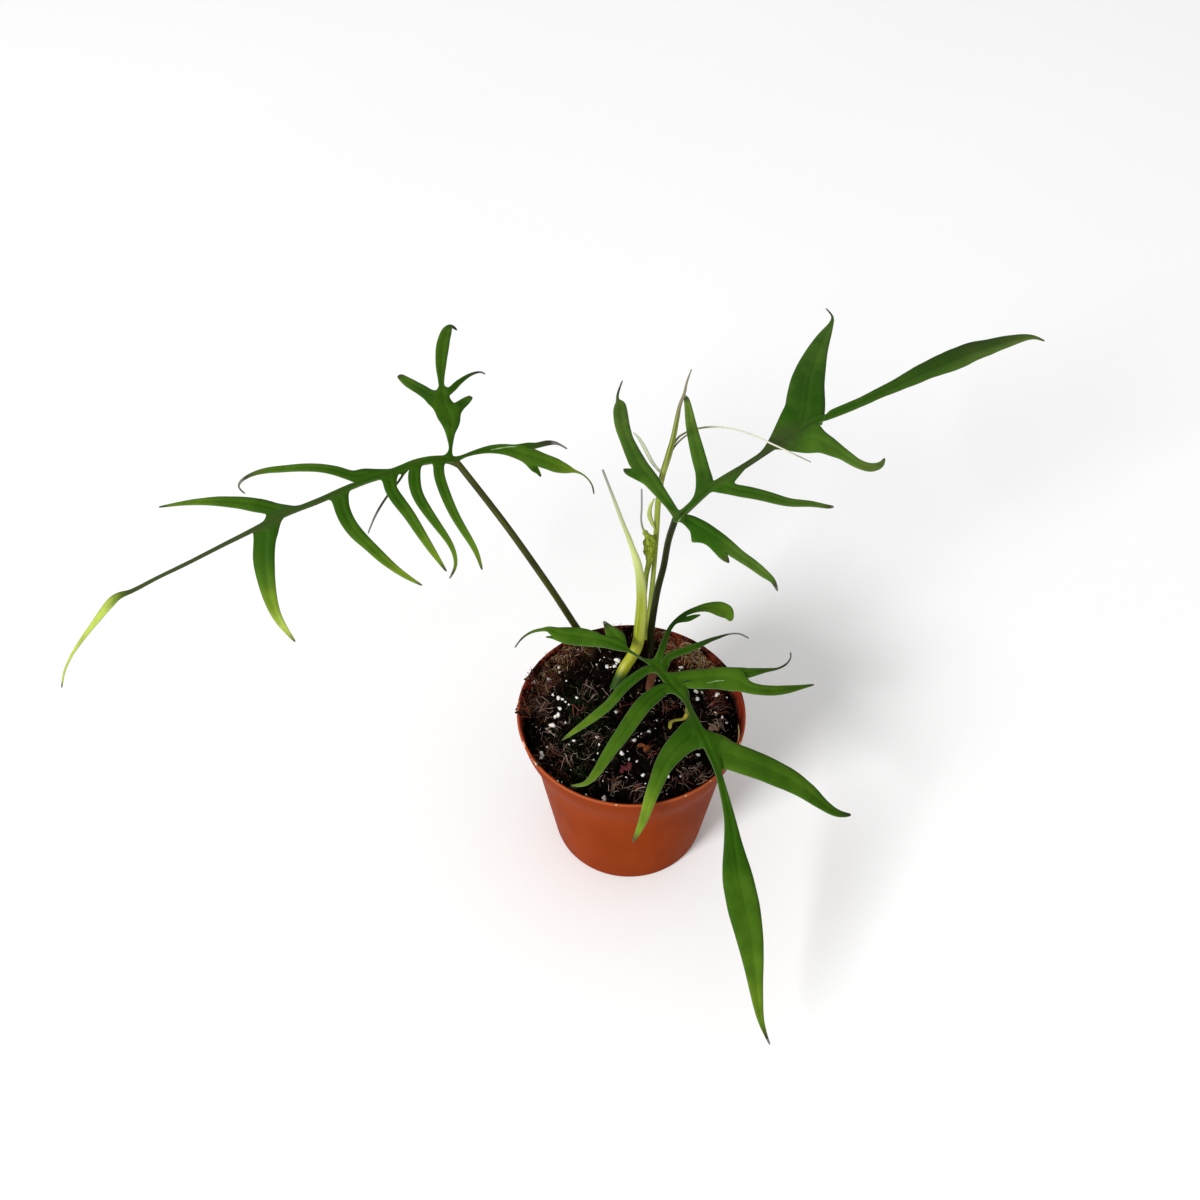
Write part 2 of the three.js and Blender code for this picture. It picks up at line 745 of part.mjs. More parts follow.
// Leaf at the front: low over the soil, its long tip hanging outside the pot
const FRONT_UP = [0.05, -0.25, 0.96];
const frontLeaf = [
  {
    name: "stalk",
    up: FRONT_UP,
    rib: 1.1,
    rows: [
      [10, 18, 116, 4], [13, 14, 116.5, 4.6], [16, 9, 117, 4.6], [19, 3, 117.5, 4.5],
      [23, -3, 118, 4.3], [27.5, -9, 118, 3.4], [29.5, -16, 118, 3.3], [32, -22, 118, 3.6],
      [34, -28, 117, 4.2], [36, -34, 117, 4.2], [38, -40, 116, 4], [40, -46, 116, 3.8],
      [42, -53, 115, 3.6], [43, -58, 114, 3.8], [45, -64, 109, 4.6], [47, -71, 103, 5.8],
      [48.5, -79.5, 95, 9.2], [50.5, -91, 84.5, 15.6], [54, -103, 73, 16.8], [57.5, -116, 61, 13],
      [59.5, -129, 49, 8], [61.5, -143, 39.5, 3.8], [64, -150, 35.5, 1.8], [66, -154, 33, 1],
    ],
  },
  {
    name: "back near",
    from: "stalk",
    side: "start",
    up: [0.05, -0.3, 0.95],
    rows: [
      [5.7, 17.8, 118.6, 1.3], [2.1, 19.8, 119.6, 1.4], [-1.4, 22.1, 120.4, 2],
      [-5, 23.7, 121, 5.1], [-9.2, 25.6, 121.4, 6.7], [-14.7, 27.8, 121.5, 7.7],
      [-20.7, 29.7, 121, 9.4], [-26.8, 32, 119.8, 10.7], [-32.9, 34.1, 118.5, 10.7],
      [-39.1, 36.9, 117, 8.4], [-43.5, 41.2, 115.6, 3.8], [-47.3, 42.4, 113.8, 2.2],
      [-51.7, 42.9, 112, 1.9], [-55.4, 42.5, 110, 1.4], [-59.1, 40.3, 108, 1.1],
      [-62.2, 36.3, 106, 1],
    ],
  },
  {
    name: "back near up",
    from: "back near",
    side: "right",
    at: 4,
    reach: 3,
    rows: [
      [-8, 30, 121.8, 10.9], [-10.7, 34.8, 121.8, 6.7], [-13.1, 39.6, 121, 3.1],
      [-14.4, 42.5, 120.4, 1.5],
    ],
  },
  {
    name: "back near barb",
    from: "back near",
    side: "left",
    at: 9,
    rows: [
      [-40.9, 36, 114.8, 2.6], [-45.4, 38, 112.8, 1],
    ],
  },
  {
    name: "near 1",
    from: "stalk",
    side: "right",
    at: 1,
    up: [-0.1, -0.3, 0.95],
    rows: [
      [8.8, 13, 116.2, 5], [2, 8, 115.6, 5.6], [-5, 2.8, 112.5, 5.8], [-11, -4, 109, 5.5],
      [-19, -10, 106, 5.2], [-28, -16, 103, 3.4], [-36, -21, 100, 1.2],
    ],
  },
  {
    name: "near 2",
    from: "stalk",
    side: "right",
    at: 3.5,
    flare: 0.5,
    up: [-0.1, -0.3, 0.95],
    rows: [
      [17.2, -0.6, 117.4, 6.4], [13, -3.6, 117.2, 8.2], [8, -8, 116.6, 9], [3.4, -13.4, 115.6, 9.1],
      [-4.5, -25, 112, 8.2], [-10, -32, 109, 6.9], [-14.5, -39, 107, 5.9], [-19, -46, 105, 4.6],
      [-24, -51, 104, 2.6], [-31, -51, 103, 1],
    ],
  },
  {
    name: "near 3",
    from: "stalk",
    side: "right",
    at: 8,
    reach: 3,
    up: [-0.1, -0.35, 0.93],
    rows: [
      [26, -33.5, 117, 13.6], [20.5, -38.5, 115.5, 11.9], [15, -46, 113, 9.3], [12, -53, 111, 7.9],
      [8, -62, 107, 6.4], [5, -69, 100, 4.8], [0, -76, 91, 1.8],
    ],
  },
  {
    name: "far 3",
    from: "stalk",
    side: "left",
    at: 10,
    reach: 4,
    up: [0.15, -0.2, 0.96],
    rows: [
      [47, -41, 115, 15.8], [54, -43, 113.5, 15.7], [63, -45, 111, 14.9], [72, -48, 108, 13.8],
      [80, -50.5, 105, 12.3], [88.5, -54, 100, 9.5], [95.5, -57.5, 95, 6.5], [103, -59, 90, 4.4],
      [110, -57, 86, 1.6],
    ],
  },
  {
    name: "far 2",
    from: "stalk",
    side: "left",
    at: 3.5,
    reach: 3,
    up: [0, -0.25, 0.96],
    rows: [
      [26, 4.5, 118, 10.1], [33.2, 4, 118.8, 10.9], [40.4, 4.1, 119.4, 11.7],
      [47.6, 4.1, 119.8, 13.4], [54, 2.5, 119.6, 13.7], [58.9, -0.6, 118.6, 7.5],
      [65.4, -1.4, 117, 6.2], [72.9, -0.3, 115, 5.9], [80.7, 2.5, 112.5, 4.9],
      [88.7, 6.8, 109, 2.8], [96.1, 10.9, 106, 1],
    ],
  },
  {
    name: "far 2 up",
    from: "far 2",
    side: "left",
    at: 4,
    rows: [
      [58, 8.1, 119, 6.7], [64, 9.7, 118, 4.7], [70.2, 12, 116.6, 2.6], [76.3, 14.2, 115, 1.3],
      [81.8, 19.2, 113, 1.2], [84.6, 24.8, 111.5, 1], [85, 29.7, 110, 1],
    ],
  },
  {
    name: "back far thin",
    from: "stalk",
    side: "left",
    at: 1.5,
    up: [0.1, -0.3, 0.95],
    rows: [
      [19.3, 20.2, 117, 4.4], [24.5, 23.3, 117, 4.4], [29.9, 26.2, 116.5, 4.1],
      [36, 29.9, 115.6, 3.4], [42.2, 34.3, 114.6, 2.5], [47.7, 37.6, 113.4, 1.8],
      [52.5, 40.7, 112, 1], [58, 42.4, 110.6, 1], [61.5, 42.1, 109, 1], [63.9, 41.6, 107.5, 1],
    ],
  },
  {
    name: "back far",
    from: "stalk",
    side: "left",
    at: 0.5,
    up: [0.35, -0.3, 0.85],
    upTip: [-0.3, -0.5, 0.8],
    rows: [
      [14.8, 19.9, 118.5, 4.3], [16.4, 24.4, 120, 3.8], [18.3, 30.1, 121.3, 3],
      [20.4, 35.8, 122, 2.5], [23.9, 40.9, 122.4, 2.4], [28.9, 45.9, 122.4, 2.7],
      [35.1, 49.5, 122, 3.3], [41.2, 51.5, 121.5, 5.2], [47.4, 51.9, 120, 8.4],
      [52.4, 51.5, 117.5, 8.4], [54.4, 48.3, 114, 2.4],
    ],
  },
  {
    name: "back far barb",
    from: "back far",
    side: "right",
    at: 4.5,
    rows: [
      [30.1, 44, 120.4, 3.4], [33.6, 46, 120, 2.8], [37.4, 47.8, 119.6, 1],
    ],
  },
];

// Youngest leaf: still rolled, with thread-like lobes arching out of its node
function youngLeafBody() {
  const roll = [
    [13.8, 59.1, 205.3, 3],
    [14.8, 59.5, 212, 3.2],
    [17.2, 61, 222, 3.3],
    [19.5, 66, 230, 2.7],
    [21, 69, 239, 2.5],
    [22, 70, 246, 2.1],
    [24, 72, 252, 1.6],
    [25, 74, 257, 1.3],
    [27, 77, 262, 1],
  ];
  const arcs = [
    [
      [18, 62.5, 225, 1.3],
      [21.2, 67, 227.3, 1.2],
      [25.2, 76, 223, 1.2],
      [30.9, 86, 217, 1.2],
      [36.9, 87, 217.6, 1.1],
      [43.4, 82, 222, 1.1],
      [51, 75, 226.2, 1.1],
      [59, 67, 229.3, 1.1],
      [67, 61, 229.4, 1],
      [76.5, 57, 227, 1],
      [86, 56, 222.2, 1],
    ],
    [
      [17.8, 61.5, 222, 1.2],
      [19.7, 64, 224.5, 1.1],
      [23.6, 72, 222.6, 1.1],
      [28.7, 83, 217.3, 1],
    ],
    [
      [14.6, 59.5, 211, 1.2],
      [11.5, 59.5, 215, 1.2],
      [8.5, 60, 220, 1.2],
      [5.6, 63, 224.6, 1.1],
      [2.7, 68, 226.8, 1],
      [0.1, 73, 226.2, 1],
    ],
  ];
  let leaf = toManifold(sweep(roll, V(0, -1, 0), roundSection(9), 2));
  for (const rows of arcs) {
    leaf = leaf.add(toManifold(sweep(rows, V(0.3, -1, 0.6), roundSection(6), 3)));
  }
  return fromManifold(leaf);
}

// Old sheath: a dried skin, its swollen part creased lengthwise and crosswise
function creasedSection(size, along) {
  const swell = Math.max(0, Math.min(1, (size - 2.4) / 3));
  const outline = [];
  for (let j = 0; j < 8; j += 1) {
    const turn = (2 * Math.PI * j) / 8;
    const crease = 1 + 0.16 * swell * Math.sin(2.4 * j + 60 * along);
    outline.push([
      0.5 * size * crease * Math.cos(turn),
      0.5 * size * (1 - 0.4 * swell) * crease * Math.sin(turn),
    ]);
  }
  return outline;
}

const group = new THREE.Group();
group.name = "potted_philodendron";

function addPart(name, body, colour, roughness) {
  const material = new THREE.MeshStandardMaterial({ color: colour, roughness, metalness: 0 });
  const mesh = new THREE.Mesh(toGeometry(body), material);
  mesh.name = name;
  group.add(mesh);
}

const CAMERA_SIDE = V(0, -1, 0);
const stalk10 = roundSection(10);
const stalk8 = roundSection(8);
const gutter = gutterSection(9, 0.75, 2.2);

addPart("pot", potBody(), 0x9a4523, 0.5);
addPart(
  "soil",
  soilBody([petioleLeft, petioleRight, petioleFront, sheathRows, shootRows, oldSheathRows]),
  0x1e1712,
  0.95,
);
addPart("petiole_left", sweep(petioleLeft, CAMERA_SIDE, stalk10, 2), 0x3a3d18, 0.55);
addPart("blade_left", leafSheet(leftLeaf), 0x36681a, 0.5);
addPart("petiole_right", sweep(petioleRight, CAMERA_SIDE, stalk10, 2), 0x2a2e14, 0.55);
addPart("blade_right", leafSheet(rightLeaf), 0x2f621a, 0.5);
addPart("petiole_front", sweep(petioleFront, CAMERA_SIDE, stalk10, 2), 0x6b4a30, 0.6);
addPart("blade_front", leafSheet(frontLeaf), 0x3b7020, 0.5);
addPart("sheath", sweep(sheathRows, CAMERA_SIDE, gutter, 2), 0xa9ad45, 0.5);
addPart("shoot", sweep(shootRows, CAMERA_SIDE, stalk8, 2), 0x93a03a, 0.5);
addPart("young_leaf", youngLeafBody(), 0x9aa745, 0.5);
addPart("old_sheath", sweep(oldSheathRows, CAMERA_SIDE, creasedSection, 2), 0x8c9648, 0.6);

export default group;
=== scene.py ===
"""Looks of a potted fern-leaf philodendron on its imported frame.

Point lists are in millimetres in the pot's frame: +X is the right of the
photograph, +Y points away from its camera, +Z is up, and the origin is the
centre of the pot's underside. Meshes are made in metres from them.
"""
import json
import math
import random

import bmesh
import bpy
from mathutils import Matrix, Vector, kdtree, noise

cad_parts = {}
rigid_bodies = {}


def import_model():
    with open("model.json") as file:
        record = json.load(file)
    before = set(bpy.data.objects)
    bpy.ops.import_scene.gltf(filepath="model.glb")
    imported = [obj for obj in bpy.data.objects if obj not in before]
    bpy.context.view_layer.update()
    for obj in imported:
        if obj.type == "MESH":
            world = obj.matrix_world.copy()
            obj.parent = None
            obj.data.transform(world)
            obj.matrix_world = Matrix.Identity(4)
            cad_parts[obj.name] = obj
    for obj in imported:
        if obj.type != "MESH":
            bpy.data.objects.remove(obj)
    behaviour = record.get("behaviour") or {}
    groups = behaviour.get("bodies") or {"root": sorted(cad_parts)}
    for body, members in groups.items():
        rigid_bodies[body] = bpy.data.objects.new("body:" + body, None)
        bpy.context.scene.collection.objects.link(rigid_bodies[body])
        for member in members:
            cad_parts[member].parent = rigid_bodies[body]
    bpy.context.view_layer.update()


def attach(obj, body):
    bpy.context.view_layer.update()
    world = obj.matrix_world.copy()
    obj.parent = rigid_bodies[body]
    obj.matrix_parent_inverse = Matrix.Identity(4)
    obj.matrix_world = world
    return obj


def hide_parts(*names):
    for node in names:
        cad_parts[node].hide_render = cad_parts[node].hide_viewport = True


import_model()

MM = 0.001

# Sizes shared with the CAD source, in mm
POT_HEIGHT = 98
RIM_RADIUS = 60
BASE_RADIUS = 41.5
WALL = 1.4
FLOOR = 2
COLLAR_BOTTOM = 79
DRAIN_COUNT = 8
DRAIN_RADIUS = 3.5
DRAIN_CIRCLE = 29
SOIL_LEVEL = 89
# Sides and rings of the turned pieces
POT_SIDES = 160
DRAIN_SIDES = 28
SOIL_SIDES = 210
SOIL_RINGS = 74


def strip(name, side, at, look, rows, parent="stalk", up=None, up_tip=None, fold=0, reach=1, flare=0.9):
    """The stalk of a leaf or a lobe that leaves its parent at a row and side of it.

    Rows hold x, y, z and width. Up is the way it faces, up_tip the way its tip does, fold
    lifts its edges, flare is how wide a lobe starts and reach over how many rows. Look
    holds how much paler it gets towards its tip, how many mm of the tip are dark, how
    pale it starts, where along it and over what share of its length shade is painted into
    its colour, and 1 where only its far half gets that painted shade.
    """
    return {"name": name, "side": side, "at": at, "look": look, "parent": parent, "up": up,
            "up_tip": up_tip, "fold": fold, "reach": reach, "flare": flare, "rows": rows}


LEFT_LEAF = [
    strip("stalk", None, 0, (2.6, 3, 0.05, 0.4, 0.1), up=(-0.12, -0.3, 0.95), rows=[
        (-87, 67, 214.2, 3.6), (-90.5, 65.5, 215.2, 4.2), (-96, 65, 216, 4.3), (-102, 64, 216, 4.6),
        (-108, 62, 216, 4.4), (-113, 60, 215, 4.2), (-120, 57, 214, 4), (-129, 54, 213, 3.8),
        (-136, 51, 212, 3.6), (-144, 48, 210, 3.4), (-155, 43, 208, 3), (-164, 40, 206, 3),
        (-172, 37, 204, 3.2), (-179, 34, 202, 3.2), (-186, 31, 200, 2.4), (-202, 26, 194, 1.9),
        (-218, 20.5, 188, 1.8), (-233, 16.5, 182, 2), (-247, 13.5, 175, 2.5), (-253, 14, 172, 4.4),
        (-259, 13, 167, 6.4), (-266, 11, 159, 4.8), (-272, 9, 152, 3.6), (-278, 7, 145, 2.8),
        (-284, 5, 137, 1.9), (-289, 1, 129, 1.4), (-291, -4, 122, 1)]),
    strip("near 1", "left", 2, (0.85, 5), flare=0.5, up=(0, -0.5, 0.85), rows=[
        (-95.5, 57, 213, 5.6), (-92, 48, 208, 5.4), (-87.5, 40, 202, 4.7), (-82, 33, 196, 3.8),
        (-77, 27, 190, 2.9), (-74, 20, 184, 1.2)]),
    strip("near 2", "left", 4, (0.85, 7), flare=0.5, up=(0, -0.5, 0.85), rows=[
        (-107.5, 55, 213, 6.4), (-106, 48, 209, 6), (-101.5, 42, 204, 5.3), (-95.5, 36, 198, 4.2),
        (-90.5, 31, 193, 3.2), (-87.5, 26, 189, 2.4), (-87, 21, 185, 1.8), (-90, 17, 181, 1)]),
    strip("near thin", "left", 5, (0, 40), flare=0, up=(-0.6, -0.6, 0.5), rows=[
        (-115, 58, 209, 1.4), (-121, 57, 201, 1.4), (-129, 54, 189, 1.4), (-134, 51, 178, 1)]),
    strip("near 3", "left", 6, (0.85, 3), flare=0.5, up=(0, -0.5, 0.85), rows=[
        (-119, 50, 211, 6.4), (-115, 45, 207, 6.4), (-110, 40, 203, 5.9), (-105, 34, 198, 5.2),
        (-98.5, 26, 192, 3.8), (-91, 17, 186, 1.2)]),
    strip("near 4", "left", 9, (0.85, 2), flare=0.5, up=(0, -0.5, 0.85), rows=[
        (-142.5, 42, 206, 7.8), (-139.5, 36, 202, 7.4), (-135, 32, 197, 6.9), (-129.5, 28.5, 193, 5.8),
        (-123, 24.5, 188, 5.3), (-116.5, 21.5, 183, 3.8), (-110.5, 19.5, 179, 2.7), (-104, 18, 175, 1)]),
    strip("near 5", "left", 13, (1.45, 2), reach=2, up=(-0.1, -0.5, 0.85), rows=[
        (-179, 28, 198, 11.4), (-179.5, 20, 191, 11.3), (-178, 12, 185, 9.2), (-175.5, 4, 178, 6.5),
        (-171.5, -3, 172, 4.2), (-164, -10, 165, 1.2)]),
    strip("far 1", "right", 7, (0.6, 24, 0.1), reach=2, up=(0, -0.2, 0.97), rows=[
        (-138, 57, 212, 6), (-148, 63.5, 210, 5.8), (-161, 70, 206, 5.5), (-175, 74.5, 201, 4.8),
        (-188, 77, 197, 3.8), (-196, 78, 193, 2.6), (-201, 76.8, 189.6, 1.8), (-202.1, 75.5, 187, 1.2),
        (-198.9, 73.5, 184.5, 1)]),
    strip("far 2", "right", 12, (0.35, 4, 0.15), reach=2, up=(0, -0.2, 0.97), rows=[
        (-177.5, 44.5, 202, 8), (-186, 48, 201, 8.6), (-197, 53, 198, 7.6), (-210, 57, 195, 5.8),
        (-226, 61, 190, 3.2), (-241, 63, 185, 1.1)]),
    strip("back far", "right", 1, (0.35, 4, 0.1), flare=0.2, up=(0.1, -0.35, 0.93), rows=[
        (-90.5, 73, 217, 1.9), (-91, 79.5, 220, 4.8), (-91, 84, 222, 9.2), (-92, 89, 223, 12),
        (-95, 95, 225, 11), (-96, 101, 226, 6.6), (-97, 108, 227, 2.9), (-97.6, 114, 228, 3.8),
        (-98, 121, 230, 5.7), (-98, 133, 232, 7.1), (-97, 146, 232, 6), (-95, 153, 231, 3),
        (-92, 153, 228, 1)]),
    strip("back far left", "left", 5, (0.35, 2, 0.1), parent="back far", reach=2, rows=[
        (-102.5, 103, 225, 7.4), (-108, 110, 223, 6.6), (-115, 118.5, 220.5, 6.2),
        (-121.5, 128, 218, 3.4)]),
    strip("back far short", "right", 3.5, (0.3, 2), parent="back far", rows=[
        (-87, 96, 224.3, 5.8), (-84.3, 101, 223.2, 4.8), (-81.8, 105, 222.5, 2.4)]),
    strip("back far thin", "right", 5.5, (0.2, 12), parent="back far", rows=[
        (-92.6, 104.5, 226.5, 4.2), (-89.2, 110, 226.8, 3.5), (-85.4, 115.5, 226.4, 2.5),
        (-81.5, 119.5, 226, 1.6), (-77.8, 122, 224.8, 1.2), (-75.7, 122, 223.5, 1)]),
    strip("back near", "start", 0, (0.6, 9, 0.15), up=(-0.1, -0.45, 0.88), rows=[
        (-84, 68.5, 214.8, 1.8), (-76.5, 74, 213.2, 3.2), (-70, 76, 212.8, 4.8), (-63, 76.5, 212, 6.2),
        (-56.5, 76, 210, 7.5), (-50, 75.5, 207.7, 9.2), (-44, 75.5, 205, 7.8),
        (-38.5, 75.5, 202.2, 7.8), (-33.5, 75.5, 200, 5.4), (-29, 75.5, 198.3, 1.6),
        (-24.5, 75, 196, 1), (-20.5, 73, 191.5, 1), (-19.5, 71, 186.5, 1)]),
    strip("back near up", "left", 4, (0, 20), parent="back near", rows=[
        (-49, 80.5, 211, 3.2), (-43.5, 82.5, 211, 3.2), (-39.5, 83, 210.8, 2.2),
        (-36.5, 83, 209.5, 1.2), (-33, 82, 207.5, 1)]),
    strip("back near low", "right", 5, (0.3, 0.6), parent="back near", rows=[
        (-48, 71, 202.5, 2.8), (-46.2, 70, 199.6, 1.2)]),
]

RIGHT_LEAF = [
    strip("stalk", None, 0, (0.6, 3, 0.2, 0.65, 0.42, 1), up=(-0.05, -0.3, 0.95), fold=0.2, rows=[
        (18.9, 21.9, 215, 3.2), (20.8, 24.2, 216, 3.4), (25.4, 28.5, 217.5, 3.6), (36, 40.3, 219, 3.6),
        (42, 45, 220.5, 3.4), (53.5, 53.5, 222, 2.6), (65, 62, 224, 2.4), (73, 68, 225, 2.7),
        (81, 73.5, 226, 3.2), (89, 79, 227, 3.5), (97, 84.5, 227, 5), (105.5, 89.5, 227, 5.4),
        (115.5, 96.5, 226, 5.6), (125, 104, 225, 6.2), (136, 112, 224, 7.6), (149, 123, 222, 10),
        (161.5, 133.5, 219, 12.2), (171.5, 141.5, 217, 13.2), (182.5, 151.5, 214, 12.6),
        (196.5, 163, 209.5, 10), (211.5, 175, 204.5, 7), (226, 185.5, 199, 3.4), (234, 187, 195, 1)]),
    strip("back far", "left", 1, (0.5, 26, 0.15), flare=0.2, up=(0.15, -0.35, 0.93), rows=[
        (17.4, 33, 214.6, 4.9), (13, 41, 215.4, 6.4), (7.9, 50.5, 216, 8.9), (3, 61, 215, 9.8),
        (0, 73, 213, 8.6), (-3, 85, 211.5, 7.3), (-5, 97, 210, 8.3), (-5.8, 112, 207, 8),
        (-5.7, 120, 205.8, 5.8), (-7.2, 124, 204.9, 1.8), (-6.5, 134, 202.4, 1.3), (-4.2, 147, 199, 1)]),
    strip("back far barb", "left", 2.5, (0.3, 0.6), parent="back far", rows=[
        (-4.8, 60.5, 213.5, 1.2)]),
    strip("far 1", "left", 3, (0.6, 4, 0.2), flare=0.5, up=(0.1, -0.45, 0.9), rows=[
        (33.5, 53, 219, 7.6), (32.3, 60, 219.8, 7.6), (31, 67, 221.4, 7.2), (28.8, 80, 225, 5.8),
        (27.7, 89, 228, 4.2), (26.9, 94.5, 229.5, 3.1), (25.8, 96.5, 230.5, 1.4)]),
    strip("near 1", "right", 4, (0.6, 4, 0.12), reach=2, up=(0.1, -0.4, 0.9), rows=[
        (46, 40.5, 219, 6.6), (56, 41, 216, 6.4), (66, 42, 212, 6), (76, 43.5, 207, 4.7),
        (87, 48, 202, 3.5), (97, 51.5, 196.5, 2.4), (100, 52.5, 195.5, 1.4)]),
    strip("far 2", "left", 8, (0.2, 12, 0.12), reach=4, flare=0.1, up=(0.1, -0.25, 0.95), fold=0.12, rows=[
        (85, 86, 226.5, 20.5), (87, 97, 226, 20.2), (89.5, 112, 225, 17.8), (93.5, 127, 223.5, 15),
        (98.5, 144, 221, 10.9), (104.5, 161, 218, 7.1), (110, 176, 214.5, 2.9), (112.5, 187, 212, 1.4),
        (110, 197, 210, 1)]),
    strip("near 2", "right", 8, (0.6, 3, 0.3), reach=3, up=(0.15, -0.4, 0.9), rows=[
        (92, 69, 224, 12.4), (98, 68.5, 220.5, 9.8), (104, 67.5, 217, 7), (111, 65, 213, 5.6),
        (118, 66.5, 209, 5.2), (125, 73, 205, 3.5), (128, 80, 203, 1.2)]),
    strip("back near", "right", 1, (0.5, 6, 0.05), up=(0.1, -0.45, 0.9), rows=[
        (26.5, 24.5, 212.5, 7.4), (32, 21.5, 210.5, 9.3), (41, 17.5, 206.5, 8.2), (50, 14.5, 200, 6),
        (56.5, 12.5, 196, 5.6), (62, 10.5, 192, 4.9), (67, 9, 188, 3), (69, 5, 185, 1)]),
    strip("back near barb 1", "right", 1, (0.3, 0.6), parent="back near", rows=[
        (27.2, 15.5, 208, 1.2)]),
    strip("back near barb 2", "right", 2, (0.3, 0.6), parent="back near", rows=[
        (45, 9.5, 200, 1.2)]),
]

